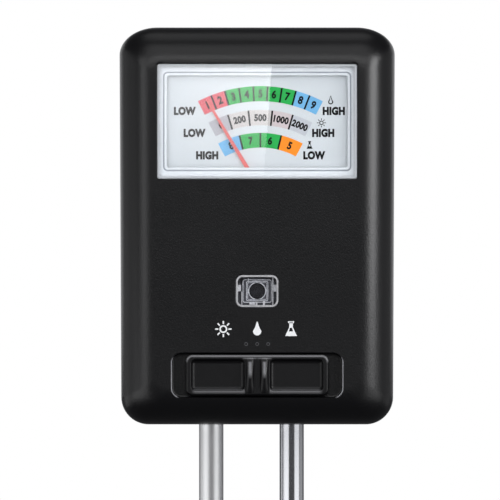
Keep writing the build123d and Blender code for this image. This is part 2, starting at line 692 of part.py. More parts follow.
def pointer_staff():
    front = rod(STAFF_RADIUS, STAFF_ENDS[0], coil_front(), PIVOT_X, PIVOT_Z)
    front += rod(COLLET_RADIUS, COLLET_ENDS[0], coil_front(), PIVOT_X, PIVOT_Z)
    rear = rod(STAFF_RADIUS, coil_back(), STAFF_ENDS[1], PIVOT_X, PIVOT_Z)
    rear += rod(COLLET_RADIUS, coil_back(), COLLET_ENDS[1], PIVOT_X, PIVOT_Z)
    return [front, rear]


def loop(wall_from, wall_to, width):
    """Rectangular loop round the core, between two distances out from the former's opening."""
    outer = [side + 2 * wall_to for side in COIL_INNER]
    inner = [side + 2 * wall_from for side in COIL_INNER]
    place = Pos(PIVOT_X, COIL_MIDDLE_Y, PIVOT_Z)
    return turned(place * (Box(*outer, width) - Box(*inner, width)))


def coil_frame():
    return loop(0, FORMER_WALL, FORMER_WIDTH)


def coil_winding():
    return loop(FORMER_WALL, FORMER_WALL + WINDING_THICKNESS, WINDING_WIDTH)


def balance_weights():
    weights = []
    middle = POINTER_FRONT + POINTER_THICKNESS / 2
    for turn in (90, 180, 270):
        ring = Cylinder(WEIGHT_RADIUS, WEIGHT_LENGTH) - Cylinder(WEIGHT_BORE, WEIGHT_LENGTH)
        place = Pos(PIVOT_X, middle, PIVOT_Z) * Rot(0, turn, 0) * Pos(0, 0, WEIGHT_REACH)
        weights.append(turned(place * ring))
    return weights


def light_window():
    boss = tuple(side - 2 * WINDOW_FIT for side in LIGHT_SIZE)
    body = plate(boss, LIGHT_CORNER - WINDOW_FIT, FRONT_Y + WINDOW_SINK, INNER_Y, 0, LIGHT_Z)
    body += plate(LIGHT_FLANGE, FLANGE_CORNER, INNER_Y, INNER_Y + FLANGE_THICKNESS, 0, LIGHT_Z)
    pocket = (INNER_Y - POCKET_DEPTH, INNER_Y + FLANGE_THICKNESS + CLEAR)
    return body - plate(LIGHT_POCKET, POCKET_CORNER, *pocket, 0, LIGHT_Z)


def cell_holder():
    size = tuple(side - 2 * HOLDER_FIT for side in LIGHT_POCKET)
    front = INNER_Y - POCKET_DEPTH + HOLDER_FIT
    flange_front = INNER_Y + FLANGE_THICKNESS
    flange_back = flange_front + HOLDER_FLANGE
    holder = plate(size, HOLDER_CORNER, front, HOLDER_BACK, 0, LIGHT_Z)
    holder += plate(LIGHT_FLANGE, FLANGE_CORNER, flange_front, flange_back, 0, LIGHT_Z)
    holder -= plate(HOLDER_OPENING, OPENING_CORNER, front - CLEAR, INNER_Y, 0, LIGHT_Z)
    return holder - rod(CELL_RADIUS + RUNNING_GAP, front, HOLDER_BACK + CLEAR, 0, LIGHT_Z)


def light_cell():
    cell = rod(CELL_RADIUS, *CELL_ENDS, 0, LIGHT_Z)
    for x in (-CELL_PIN_X, CELL_PIN_X):
        cell += rod(CELL_PIN_RADIUS, CELL_ENDS[1], BOARD_BACK + TAG_THICKNESS, x, LIGHT_Z)
    return cell


def circuit_board():
    before, behind = BOARD_FRONT - CLEAR, BOARD_BACK + CLEAR
    board = plate(BOARD_SIZE, BOARD_CORNER, BOARD_FRONT, BOARD_BACK, 0, BOARD_Z)
    for x, z in BOARD_SCREW_POINTS:
        board -= rod(THREAD_PASS, before, behind, x, z)
    for x in (-CELL_PIN_X, CELL_PIN_X):
        board -= rod(CELL_PIN_HOLE, before, behind, x, LIGHT_Z)
    return board


def board_screws():
    end = BOARD_FRONT - BOARD_SCREW_DEPTH
    return [
        screw(x, BOARD_BACK, z, BOARD_SCREW_HEAD, THREAD_RADIUS, end) for x, z in BOARD_SCREW_POINTS
    ]


def contact_pads():
    front = BOARD_FRONT - PAD_THICKNESS
    pads = []
    for row in (-1, 1):
        for place in PAD_PLACES:
            x, z = place * SWITCH_TRAVEL, SWITCH_Z + row * PAD_ROW
            pads.append(plate(PAD_SIZE, PAD_CORNER, front, BOARD_FRONT, x, z))
    return pads


def resistors():
    parts = []
    middle = BOARD_BACK + RESISTOR_RADIUS + RESISTOR_LIFT
    for x, z in RESISTOR_POINTS:
        left, right = x - RESISTOR_FOOT, x + RESISTOR_FOOT
        points = [(left, BOARD_BACK, z), (left, middle, z), (right, middle, z), (right, BOARD_BACK, z)]
        body = Pos(x, middle, z) * Rot(0, 90, 0) * Cylinder(RESISTOR_RADIUS, RESISTOR_LENGTH)
        parts.append(body + wire(points, [RESISTOR_BEND, RESISTOR_BEND], RESISTOR_WIRE))
    return parts


def switch_knob():
    front, back = FRONT_Y, INNER_Y - KNOB_FLOOR_GAP
    knob = plate(KNOB_SIZE, KNOB_CORNER, front, back, 0, SWITCH_Z)
    knob = fillet(knob.faces().sort_by(Axis.Y)[0].edges(), KNOB_EDGE)
    for side in (-1, 1):
        pan = plate(PAN_SIZE, PAN_CORNER, front - CLEAR, front + PAN_DEPTH, side * PAN_X, SWITCH_Z)
        knob -= fillet(pan.faces().sort_by(Axis.Y)[-1].edges(), PAN_FLOOR_EDGE)
    for side in (-1, 1):
        rib = plate(RIB_SIZE, RIB_CORNER, front - RIB_PROUD, front + RIB_ROOT, side * RIB_X, SWITCH_Z)
        knob += fillet(rib.faces().sort_by(Axis.Y)[0].edges(), RIB_EDGE)
    return knob + plate(STEM_SIZE, 0, back, CARRIAGE_FRONT + CARRIAGE_THICKNESS, 0, SWITCH_Z)


def switch_carriage():
    back = CARRIAGE_FRONT + CARRIAGE_THICKNESS
    carriage = plate(CARRIAGE_SIZE, CARRIAGE_CORNER, CARRIAGE_FRONT, back, 0, SWITCH_Z)
    carriage -= plate(STEM_SIZE, 0, CARRIAGE_FRONT - CLEAR, back + CLEAR, 0, SWITCH_Z)
    low = SWITCH_Z - CARRIAGE_SIZE[1] / 2
    half, height = SPRING_POCKET[0] / 2, SPRING_POCKET[1]
    depths = (CARRIAGE_FRONT + POCKET_SKIN, back - POCKET_SKIN)
    return carriage - block(-half, half, *depths, low - CLEAR, low + height)


def strip(points, radius, thickness, plane, width):
    """Bent strip: a profile of bends on a plane, widened along the plane's normal."""
    profile = trace(FilletPolyline(*points, radius=radius), line_width=thickness)
    return extrude(plane * profile, amount=width / 2, both=True)


def wiper_contacts():
    back = CARRIAGE_FRONT + CARRIAGE_THICKNESS
    thickness, finger_width = WIPER_STRIP
    base_width, near, far = WIPER_BASE
    touch = BOARD_FRONT - 2 * PAD_THICKNESS - thickness / 2
    bends = [
        (back + thickness / 2, far - thickness),
        (back + thickness / 2, near),
        (touch, 2.7),
        (touch, 2.0),
        (touch - 0.8, 1.3),
    ]
    contacts = []
    for row in (-1, 1):
        heights = sorted((SWITCH_Z + row * near, SWITCH_Z + row * far))
        contact = block(-base_width / 2, base_width / 2, back, back + thickness, *heights)
        for side in (-1, 1):
            across = Plane((side * SWITCH_TRAVEL / 2, 0, SWITCH_Z), x_dir=(0, 1, 0), z_dir=(row, 0, 0))
            contact += strip(bends, WIPER_BEND, thickness, across, finger_width)
        contacts.append(contact)
    return contacts


def detent_spring():
    low = SWITCH_Z - CARRIAGE_SIZE[1] / 2
    middle = CARRIAGE_FRONT + CARRIAGE_THICKNESS / 2
    thickness, width = DETENT_STRIP
    return strip(DETENT_BENDS, DETENT_RADII, thickness, facing(0, middle, low), width)


def probe(x):
    """Turned rod with a conical point, a shoulder against the housing, a groove and a riveted top."""
    rivet_foot = SHANK_TOP + TAG_THICKNESS
    rivet_top = rivet_foot + RIVET_HEIGHT
    profile = [
        (0, -PROBE_LENGTH),
        (PROBE_TIP_RADIUS, -PROBE_LENGTH),
        (PROBE_RADIUS, PROBE_TIP_LENGTH - PROBE_LENGTH),
        (PROBE_RADIUS, 0),
        (SHANK_RADIUS, 0),
        (SHANK_RADIUS, GROOVE[0]),
        (GROOVE_RADIUS, GROOVE[0]),
        (GROOVE_RADIUS, GROOVE[1]),
        (SHANK_RADIUS, GROOVE[1]),
        (SHANK_RADIUS, SHANK_TOP),
        (NECK_RADIUS, SHANK_TOP),
        (NECK_RADIUS, rivet_foot),
        (RIVET_RADIUS, rivet_foot),
        (RIVET_RADIUS, rivet_top),
        (0, rivet_top),
    ]
    half = make_face(Polyline(*profile, close=True))
    return Pos(x, 0, 0) * revolve(Plane.XZ * half, axis=Axis.Z)


def probe_clamp():
    low, high = GROOVE[0] + RUNNING_GAP, GROOVE[1] - RUNNING_GAP
    left, right = PROBE_LEFT_X - CLAMP_MARGIN, PROBE_RIGHT_X + CLAMP_MARGIN
    front = CLAMP_FLANGE_Y - CLAMP_THICKNESS
    clamp = block(left, right, CLAMP_FRONT, CLAMP_FLANGE_Y, low, high)
    clamp += block(left, right, front, CLAMP_FLANGE_Y, low, CLAMP_SCREW_Z + CLAMP_RISE)
    radius = GROOVE_RADIUS + RUNNING_GAP
    heights = (low - CLEAR, high + CLEAR)
    for x in PROBES_X:
        clamp -= upright(radius, *heights, x)
        clamp -= block(x - radius, x + radius, CLAMP_FRONT - CLEAR, 0, *heights)
    for x, z in clamp_points():
        clamp -= rod(THREAD_PASS, front - CLEAR, CLAMP_FLANGE_Y + CLEAR, x, z)
    return clamp


def clamp_screws():
    head_y = CLAMP_FLANGE_Y - CLAMP_THICKNESS
    end = head_y + CLAMP_SCREW_LENGTH
    return [front_screw(x, head_y, z, SCREW_HEAD, THREAD_RADIUS, end) for x, z in clamp_points()]


def probe_tags():
    tags = []
    top = SHANK_TOP + TAG_THICKNESS
    width, y0, y1 = TAG_TONGUE
    for x in PROBES_X:
        tongue = block(x - width / 2, x + width / 2, y0, y1, SHANK_TOP, top)
        tag = upright(TAG_RADIUS, SHANK_TOP, top, x) + tongue
        tags.append(tag - upright(NECK_RADIUS, SHANK_TOP - CLEAR, top + CLEAR, x))
    return tags


def probe_leads():
    top = SHANK_TOP + TAG_THICKNESS
    leads = []
    for x in PROBES_X:
        points = [(share * x, y, top + rise) for share, y, rise in PROBE_LEAD_PATH]
        leads.append(wire(points, PROBE_LEAD_BENDS, LEAD_RADIUS))
    return leads


NODES = {
    "front_cover": front_cover,
    "rear_cover": rear_cover,
    "case_screws": case_screws,
    "meter_window": meter_window,
    "dial_bezel": dial_bezel,
    "dial_plate": dial_plate,
    "dial_screws": dial_screws,
    "meter_base": meter_base,
    "meter_screws": meter_screws,
    "meter_yoke": meter_yoke,
    "core_magnet": core_magnet,
    "core_bracket": core_bracket,
    "front_bridge": front_bridge,
    "rear_bridge": rear_bridge,
    "jewel_screws": jewel_screws,
    "hairspring_front": lambda: hairspring(FRONT_SPRING_Y),
    "hairspring_rear": lambda: hairspring(REAR_SPRING_Y),
    "pointer_stops": pointer_stops,
    "meter_terminals": meter_terminals,
    "meter_leads": meter_leads,
    "light_window": light_window,
    "cell_holder": cell_holder,
    "light_cell": light_cell,
    "circuit_board": circuit_board,
    "board_screws": board_screws,
    "contact_pads": contact_pads,
    "resistors": resistors,
    "probe_left": lambda: probe(PROBE_LEFT_X),
    "probe_right": lambda: probe(PROBE_RIGHT_X),
    "probe_clamp": probe_clamp,
    "clamp_screws": clamp_screws,
    "probe_tags": probe_tags,
    "probe_leads": probe_leads,
    "pointer_needle": pointer_needle,
    "pointer_staff": pointer_staff,
    "coil_frame": coil_frame,
    "coil_winding": coil_winding,
    "balance_weights": balance_weights,
    "switch_knob": switch_knob,
    "switch_carriage": switch_carriage,
    "wiper_contacts": wiper_contacts,
    "detent_spring": detent_spring,
}

os.makedirs("parts", exist_ok=True)
for node, make in NODES.items():
    made = make()
    shape = Compound(children=made) if isinstance(made, list) else made
    export_step(shape, f"parts/{node}.step")
    print(node, len(shape.solids()), round(shape.volume, 2))
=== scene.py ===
# %% [markdown]
# # A hand-held soil meter, from bare frame to finished object
#
# A garden meter like this is a flat black housing on two metal probes. Behind a clear window a thin
# pointer swings over three printed scales, and a slide switch picks the scale that it reads.
# The lesson starts from a CAD model that already has every part at its true size and place. What it
# doesn't have is a finish. Each step below takes one piece or one finish, says what it is on the
# real object, and makes it in the way that suits it.

# %% Load the fixed frame
import json
import math

import bmesh
import bpy
from mathutils import Matrix, Vector


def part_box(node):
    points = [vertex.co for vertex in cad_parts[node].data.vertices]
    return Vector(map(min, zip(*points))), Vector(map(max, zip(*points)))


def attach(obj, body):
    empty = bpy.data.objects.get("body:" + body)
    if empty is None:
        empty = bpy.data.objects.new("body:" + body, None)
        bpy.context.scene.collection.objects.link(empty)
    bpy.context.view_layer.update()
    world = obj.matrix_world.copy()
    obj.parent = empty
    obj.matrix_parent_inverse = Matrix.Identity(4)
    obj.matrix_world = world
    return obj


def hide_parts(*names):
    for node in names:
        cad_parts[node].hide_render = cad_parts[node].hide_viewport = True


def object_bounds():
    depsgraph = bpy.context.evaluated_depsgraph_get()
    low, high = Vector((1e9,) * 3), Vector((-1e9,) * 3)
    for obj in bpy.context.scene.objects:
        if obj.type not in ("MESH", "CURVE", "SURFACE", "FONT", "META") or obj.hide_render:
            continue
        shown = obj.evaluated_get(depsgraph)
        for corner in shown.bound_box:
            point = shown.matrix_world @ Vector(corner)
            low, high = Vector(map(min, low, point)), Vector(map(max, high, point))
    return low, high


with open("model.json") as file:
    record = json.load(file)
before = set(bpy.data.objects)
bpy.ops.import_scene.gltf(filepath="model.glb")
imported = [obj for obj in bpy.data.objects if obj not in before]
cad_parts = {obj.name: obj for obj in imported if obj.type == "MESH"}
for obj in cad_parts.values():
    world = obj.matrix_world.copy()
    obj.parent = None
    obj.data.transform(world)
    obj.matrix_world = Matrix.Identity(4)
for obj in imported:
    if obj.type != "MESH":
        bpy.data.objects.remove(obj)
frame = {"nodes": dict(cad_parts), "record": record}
cad_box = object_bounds()
nodes = frame["nodes"]
scene = bpy.context.scene
MM = 0.001

# %% [markdown]
# ## Places come from the frame
#
# The CAD knows where everything is, so a piece asks the frame for its box instead of holding numbers
# of its own. Boxes come in metres and this lesson thinks in millimetres, so one helper turns them
# round. X runs to the right, Y to the back and Z up, and the dial faces -Y.

# %% Ask for a box


class Span:
    """The box of one CAD node, in millimetres."""

    def __init__(self, node):
        low, high = (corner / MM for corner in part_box(node))
        self.left, self.front, self.bottom = low
        self.right, self.back, self.top = high
        self.x, self.y, self.z = (low + high) / 2
        self.width, self.depth, self.height = high - low


case = Span("front_cover")
rear = Span("rear_cover")
pane = Span("meter_window")
plate = Span("dial_plate")
print(f"housing {case.width:.1f} x {rear.back - case.front:.1f} x {case.height:.1f} mm")

# %% [markdown]
# ## Meshes from loops
#
# Most moulded parts here are a stack of rounded outlines: each outline is a little smaller or lies a
# little deeper than the last. A skin over such a stack is closed by design, and its rounded edges are
# real geometry instead of a trick of shading. The same few helpers make the housing, the windows,
# the bezel, the knob and the tools that cut openings.

# %% Turn points into a closed, smooth-shaded solid
MERGE = 0.002 * MM
SHARP = math.radians(32)


def shade(piece, angle=SHARP):
    """Merges doubles, turns faces outwards and shades smoothly across gentle edges."""
    shell = bmesh.new()
    shell.from_mesh(piece.data)
    bmesh.ops.remove_doubles(shell, verts=shell.verts, dist=MERGE)
    bmesh.ops.dissolve_degenerate(shell, edges=shell.edges, dist=MERGE / 4)
    bmesh.ops.recalc_face_normals(shell, faces=shell.faces)
    for face in shell.faces:
        face.smooth = True
    for edge in shell.edges:
        edge.smooth = edge.is_manifold and edge.calc_face_angle(0.0) < angle
    shell.to_mesh(piece.data)
    shell.free()
    return piece


def solid(name, points, faces):
    """Makes an object from points in millimetres."""
    mesh = bpy.data.meshes.new(name)
    mesh.from_pydata([Vector(point) * MM for point in points], [], faces)
    piece = bpy.data.objects.new(name, mesh)
    scene.collection.objects.link(piece)
    return shade(piece)


def skin(name, loops, ring=False):
    """Covers a stack of loops. A ring joins its last loop to its first, and a stack gets two caps."""
    count = len(loops[0])
    pairs = [(level, level + 1) for level in range(len(loops) - 1)]
    if ring:
        pairs.append((len(loops) - 1, 0))
    faces = []
    for near, far in pairs:
        for here in range(count):
            following = (here + 1) % count
            faces.append(
                (near * count + here, near * count + following, far * count + following, far * count + here)
            )
    if not ring:
        faces.append(tuple(range(count)))
        faces.append(tuple(range((len(loops) - 1) * count, len(loops) * count)))
    return solid(name, [point for loop in loops for point in loop], faces)


print(f"edges under {math.degrees(SHARP):.0f} degrees look round")

# %% Draw the loops
CORNER_STEPS = 8


def rounded(width, height, corner, y, x=0.0, z=0.0, steps=CORNER_STEPS):
    """Rounded rectangle that faces the front, at depth y."""
    points = []
    for quarter, (side_x, side_z) in enumerate(((1, 1), (-1, 1), (-1, -1), (1, -1))):
        centre_x = x + side_x * (width / 2 - corner)
        centre_z = z + side_z * (height / 2 - corner)
        for step in range(steps + 1):
            turn = math.radians(90 * (quarter + step / steps))
            points.append((centre_x + corner * math.cos(turn), y, centre_z + corner * math.sin(turn)))
    return points


def quarter_round(steps=5):
    """Steps round a rim as (inset, depth) in radii, from the face to the wall."""
    turns = [math.pi / 2 * step / steps for step in range(steps + 1)]
    return [(1 - math.sin(turn), 1 - math.cos(turn)) for turn in turns]


def rim_loops(width, height, corner, y, radius, deeper, x, z):
    """The loops of a rounded rim, from the face at y to the wall. deeper is 1 for a solid behind y."""
    loops = []
    for inset, deep in quarter_round() if radius else [(0, 0)]:
        trim = radius * inset
        size = (width - 2 * trim, height - 2 * trim, corner - trim)
        loops.append(rounded(*size, y + deeper * radius * deep, x, z))
    return loops


def slab(name, width, height, corner, front, back, x=0.0, z=0.0, front_round=0.0, back_round=0.0):
    """Rounded plate between two depths."""
    loops = rim_loops(width, height, corner, front, front_round, 1, x, z)
    loops += reversed(rim_loops(width, height, corner, back, back_round, -1, x, z))
    return skin(name, loops)


def rod(name, radius, front, back, x, z):
    """Round bar along Y."""
    return slab(name, 2 * radius, 2 * radius, radius, front, back, x, z)


def mouth(name, width, height, corner, face, depth, lip, x=0.0, z=0.0, floor_round=0.0, deeper=1):
    """Tool that cuts an opening with a rounded lip. deeper is 1 on the front face and -1 on the rear."""
    loops = [rounded(width + 2 * lip, height + 2 * lip, corner + lip, face - deeper, x, z)]
    for inset, deep in quarter_round():
        grow = lip * inset
        size = (width + 2 * grow, height + 2 * grow, corner + grow)
        loops.append(rounded(*size, face + deeper * lip * deep, x, z))
    floor = face + deeper * depth
    loops += reversed(rim_loops(width, height, corner, floor, floor_round, -deeper, x, z))
    return skin(name, loops)


print(f"a corner has {CORNER_STEPS} steps")

# %% [markdown]
# ## Cutting and joining
#
# A shell, its openings and its bosses could be modelled face by face, but then every change means new
# faces. Solid tools are quicker to read: join what is added, subtract what is taken away. The tools
# carry their own rounded lips, so no bevel is needed afterwards, which often fails on such meshes.

# %% Join and cut


def settle(piece):
    """Turns what the modifiers show into the piece's own mesh."""
    seen = piece.evaluated_get(bpy.context.evaluated_depsgraph_get())
    mesh = bpy.data.meshes.new_from_object(seen)
    piece.modifiers.clear()
    piece.data = mesh
    return piece


def polish(piece):
    """Lets large flat faces decide the shading at their edges, so that flat parts mirror flatly."""
    weigh = piece.modifiers.new("weigh", "WEIGHTED_NORMAL")
    weigh.mode = "FACE_AREA"
    weigh.keep_sharp = True
    return settle(piece)


def combine(piece, operation, others):
    """Joins the others to the piece or cuts them out of it, and removes them."""
    for other in others:
        step = piece.modifiers.new(other.name, "BOOLEAN")
        step.operation = operation
        step.solver = "EXACT"
        step.object = other
    settle(piece)
    for other in others:
        bpy.data.objects.remove(other)
    return shade(piece)


print("tools ready")

# %% [markdown]
# ## Two shells
#
# The housing is two moulded shells that meet on the plane Y = 0. Each is a pillow: its outline is a
# rounded rectangle, a little wider at the top, and its edge runs over a soft shoulder into the flat
# face. The shoulder is most of what the eye sees of a black object, so it gets many fine steps, and one
# more loop just inside the face keeps the flat part free of slanted shading.

# %% Build a pillow from the housing's outline
SIDE_TAPER = 0.4
TOP_CORNER = (9.0, 6.6)
BOTTOM_CORNER = (6.5, 6.5)
FRONT_SHOULDER = (8.3, 8.0)
REAR_SHOULDER = (5.0, 4.5)
WALL = 2.2
FACE_WALL = 2.4
SHOULDER_STEPS = 18
OUTLINE_STEPS = 20
CORNER_SHRINK = 0.6
FLAT_INSET = 0.4
SEAM = 0.25


def outline(inset, y, run):
    """The housing's outline at depth y, drawn in by inset from its widest section."""
    scale = 1 - CORNER_SHRINK * inset / run
    points = []
    for quarter, (side, low) in enumerate(((1, False), (-1, False), (-1, True), (1, True))):
        corner_x, corner_z = (axis * scale for axis in (BOTTOM_CORNER if low else TOP_CORNER))
        half = case.right - (SIDE_TAPER if low else 0) - inset
        centre_x = side * (half - corner_x)
        centre_z = case.bottom + inset + corner_z if low else case.top - inset - corner_z
        for step in range(OUTLINE_STEPS + 1):
            turn = math.radians(90 * (quarter + step / OUTLINE_STEPS))
            points.append((centre_x + corner_x * math.cos(turn), y, centre_z + corner_z * math.sin(turn)))
    return points


def pillow(name, side, shoulder, wall=0.0, face_wall=0.0):
    """Solid from the parting plane to the rounded face. side is -1 at the front and 1 at the back."""
    run, rise = shoulder[0] - wall, shoulder[1] - face_wall
    start = rear.back - shoulder[1]
    if wall:
        loops = [outline(wall, -side, shoulder[0])]
    else:
        loops = [outline(SEAM, 0, shoulder[0]), outline(0, side * SEAM, shoulder[0])]
    for step in range(SHOULDER_STEPS + 1):
        turn = math.pi / 2 * step / SHOULDER_STEPS
        depth = side * (start + rise * math.sin(turn))
        loops.append(outline(wall + run * (1 - math.cos(turn)), depth, shoulder[0]))
    loops.append(outline(shoulder[0] + FLAT_INSET, side * (start + rise), shoulder[0]))
    return skin(name, loops)


print(f"a shoulder is {FRONT_SHOULDER[0]} mm wide and {FRONT_SHOULDER[1]} mm deep")

# %% Name the sizes inside the shells
# ROOT is how far a post or a rail reaches into the wall, and SPARE how far a tool reaches past it.
ROOT = 0.4
SPARE = 1.0
CASE_POINTS = [(-27.0, 83.0), (27.0, 83.0), (-26.6, 6.4), (26.6, 6.4)]
WINDOW_GAP = 0.16
WINDOW_LIP = 0.12
WINDOW_CORNER = 0.5
LIGHT_CORNER = 1.7
RECESS = (40.3, 10.6)
RECESS_CORNER = 2.3
RECESS_LIP = 0.14
RECESS_FLOOR_ROUND = 0.4
OPENING_DEPTH = 3.0
SLOT = (14.5, 3.3)
SLOT_CORNER = 0.4
SLOT_DEPTH = 3.0
TUB = (44.0, 14.2)
TUB_CORNER = 3.5
TUB_FLOOR = 1.6
RAIL = (27.0, 1.4)
RAIL_CORNER = 0.2
RAIL_BACK = -11.0
RAIL_OFFSET = 6.1
POST_RADIUS = 2.2
BOARD_INSET = 1.8
BOARD_FRONT = -8.0
COLLAR = (9.4, 5.6)
COLLAR_CORNER = 0.4
COLLAR_DEPTH = 4.7
COLLAR_Z = 3.9
PROBE_HOLE = 2.55
PROBE_HOLE_TOP = 8.0
ROUND_STEPS = 32
inner_face = case.front + FACE_WALL
window_size = (47.3, 27.2)
light_size = (10.3, 7.8)
knob_span = Span("switch_knob")
light_span = Span("light_window")
board = Span("board_screws")
probes = [Span("probe_left"), Span("probe_right")]
switch_z = knob_span.z
print(f"the switch lies {switch_z:.1f} mm above the housing's foot")

# %% Fill and open the front shell


def upright(name, radius, low, high, x):
    """Round bar along Z on the parting plane."""
    turns = [math.radians(360 * step / ROUND_STEPS) for step in range(ROUND_STEPS)]
    loops = [
        [(x + radius * math.cos(turn), radius * math.sin(turn), z) for turn in turns]
        for z in (low, high)
    ]
    return skin(name, loops)


def probe_holes():
    """Tools for the two holes that the probes' shanks pass through."""
    return [upright("probe_hole", PROBE_HOLE, -SPARE, PROBE_HOLE_TOP, probe.x) for probe in probes]


def collars(side):
    """Blocks that hold the probes' shanks, in one shell."""
    ends = sorted((0.0, side * COLLAR_DEPTH))
    return [slab("collar", *COLLAR, COLLAR_CORNER, *ends, probe.x, COLLAR_Z) for probe in probes]


front_shell = pillow("front_shell", -1, FRONT_SHOULDER)
combine(front_shell, "DIFFERENCE", [pillow("front_hollow", -1, FRONT_SHOULDER, WALL, FACE_WALL)])
inside = [slab("tub", *TUB, TUB_CORNER, inner_face - ROOT, inner_face + TUB_FLOOR, 0, switch_z)]
for side in (-1, 1):
    rail_z = switch_z + side * RAIL_OFFSET
    inside.append(slab("rail", *RAIL, RAIL_CORNER, inner_face, RAIL_BACK, 0, rail_z))
inside += [rod("case_post", POST_RADIUS, inner_face - ROOT, 0, x, z) for x, z in CASE_POINTS]
for x in (board.left + BOARD_INSET, board.right - BOARD_INSET):
    for z in (board.bottom + BOARD_INSET, board.top - BOARD_INSET):
        inside.append(rod("board_post", POST_RADIUS, inner_face - ROOT, BOARD_FRONT, x, z))
inside += collars(-1)
combine(front_shell, "UNION", inside)
openings = [
    mouth("window_hole", *window_size, WINDOW_CORNER, case.front, OPENING_DEPTH, WINDOW_LIP, 0, pane.z),
    mouth("light_hole", *light_size, LIGHT_CORNER, case.front, OPENING_DEPTH, WINDOW_LIP, 0, light_span.z),
    mouth(
        "recess", *RECESS, RECESS_CORNER, case.front, FACE_WALL, RECESS_LIP,
        0, switch_z, RECESS_FLOOR_ROUND,
    ),
    slab("slot", *SLOT, SLOT_CORNER, inner_face - SPARE, inner_face + SLOT_DEPTH, 0, switch_z),
]
combine(front_shell, "DIFFERENCE", openings + probe_holes())
print(f"front shell: {len(front_shell.data.polygons)} faces")

# %% Fill and open the rear shell
REAR_POST_RADIUS = 2.9
REAR_POST_INSET = 2.0
WELL_RADIUS = 2.3
WELL_FLOOR = 6.0
WELL_LIP = 0.25
WELL_FLOOR_ROUND = 0.2
SCREW_HOLE = 1.1
LABEL = (38.0, 30.0)
LABEL_CORNER = 2.5
LABEL_DEPTH = 0.35
LABEL_Z = 52.0
LABEL_LIP = 0.15
LABEL_FLOOR_ROUND = 0.1

rear_shell = pillow("rear_shell", 1, REAR_SHOULDER)
combine(rear_shell, "DIFFERENCE", [pillow("rear_hollow", 1, REAR_SHOULDER, WALL, FACE_WALL)])
post_end = rear.back - REAR_POST_INSET
inside = [rod("rear_post", REAR_POST_RADIUS, 0, post_end, x, z) for x, z in CASE_POINTS]
combine(rear_shell, "UNION", inside + collars(1))
label = (*LABEL, LABEL_CORNER, rear.back, LABEL_DEPTH, LABEL_LIP)
wells = [mouth("label", *label, 0, LABEL_Z, LABEL_FLOOR_ROUND, -1)]
well = (2 * WELL_RADIUS, 2 * WELL_RADIUS, WELL_RADIUS, rear.back, rear.back - WELL_FLOOR, WELL_LIP)
for x, z in CASE_POINTS:
    wells.append(mouth("well", *well, x, z, WELL_FLOOR_ROUND, -1))
    wells.append(rod("screw_hole", SCREW_HOLE, -SPARE, WELL_FLOOR + SPARE, x, z))
combine(rear_shell, "DIFFERENCE", wells + probe_holes())
print(f"rear shell: {len(rear_shell.data.polygons)} faces")

# %% [markdown]
# ## Clear window, bezel and light window
#
# The dial sits behind a clear pane that is pushed into the front shell from inside and stops on a
# flange. Under the pane lies a pale bezel with a rolled inner edge. Just outside that edge a grey hoop
# sits in a groove: it is painted shade, the fine grey line of shadow in the gap that frames the dial.
# The light window is a smaller clear moulding with a pocket for the light cell. All three
# are skins over loops, so their rolled edges catch light as the mouldings do.

# %% Mould the pane
FLANGE = (49.4, 29.0)
FLANGE_CORNER = 1.0
PANE_RIM = 0.2
PANE_EDGE = 0.42
CLEARANCE = 0.02

boss = [side - 2 * WINDOW_GAP for side in window_size]
loops = rim_loops(*boss, WINDOW_CORNER, pane.front, PANE_RIM, 1, 0, pane.z)
loops.append(rounded(*boss, WINDOW_CORNER, inner_face + CLEARANCE, 0, pane.z))
loops += [rounded(*FLANGE, FLANGE_CORNER, y, 0, pane.z) for y in (inner_face + CLEARANCE, pane.back)]
clear_pane = skin("clear_pane", loops)


def hoop(name, width, height, corner, bar, front, back, x=0.0, z=0.0):
    """Flat ring of rounded outline, whose bar is measured inwards."""
    inner = (width - 2 * bar, height - 2 * bar, corner - bar)
    outer = (width, height, corner)
    edges = ((outer, front), (outer, back), (inner, back), (inner, front))
    return skin(name, [rounded(*size, y, x, z) for size, y in edges], ring=True)


pane_edge = hoop(
    "pane_edge", *(side + CLEARANCE for side in boss), WINDOW_CORNER, PANE_EDGE,
    pane.front - CLEARANCE / 2, inner_face, 0, pane.z,
)
print(f"pane: {pane.width:.1f} x {pane.height:.1f} mm over its flange")

# %% Mould the bezel and the grey hoop of painted shade in its groove
OPENING = (42.8, 21.8)
OPENING_CORNER = 0.7
# Each step is the distance outward from the opening's edge, and the depth behind the bezel's front:
# a rounded edge, a flat, the groove that holds a grey hoop of painted shade, and the outer land.
GROOVE = (0.52, 0.88)
BEZEL_LIP = 0.8
BEZEL_PROFILE = [
    (0.0, BEZEL_LIP), (0.0, 0.16), (0.03, 0.09), (0.09, 0.04), (0.16, 0.02), (0.30, 0.02),
    (GROOVE[0], 0.02), (GROOVE[0], 0.18), (GROOVE[1], 0.18), (GROOVE[1], 0.02), (1.1, 0.02), (1.3, 0.02),
]
BEZEL_LAND = 0.12
CORNER_GROWTH = 0.5
GAP_SHADE_DEPTHS = (0.09, 0.19)
SKIRT = 1.0
FOOT = (34.0, 4.0)
FOOT_CORNER = 0.1
bezel_span = Span("dial_bezel")
bezel_front = pane.back + CLEARANCE


def grown(outward, y):
    """Outline of the bezel's opening, grown outward all round."""
    size = [side + 2 * outward for side in OPENING]
    return rounded(*size, OPENING_CORNER + outward * CORNER_GROWTH, y, 0, pane.z)


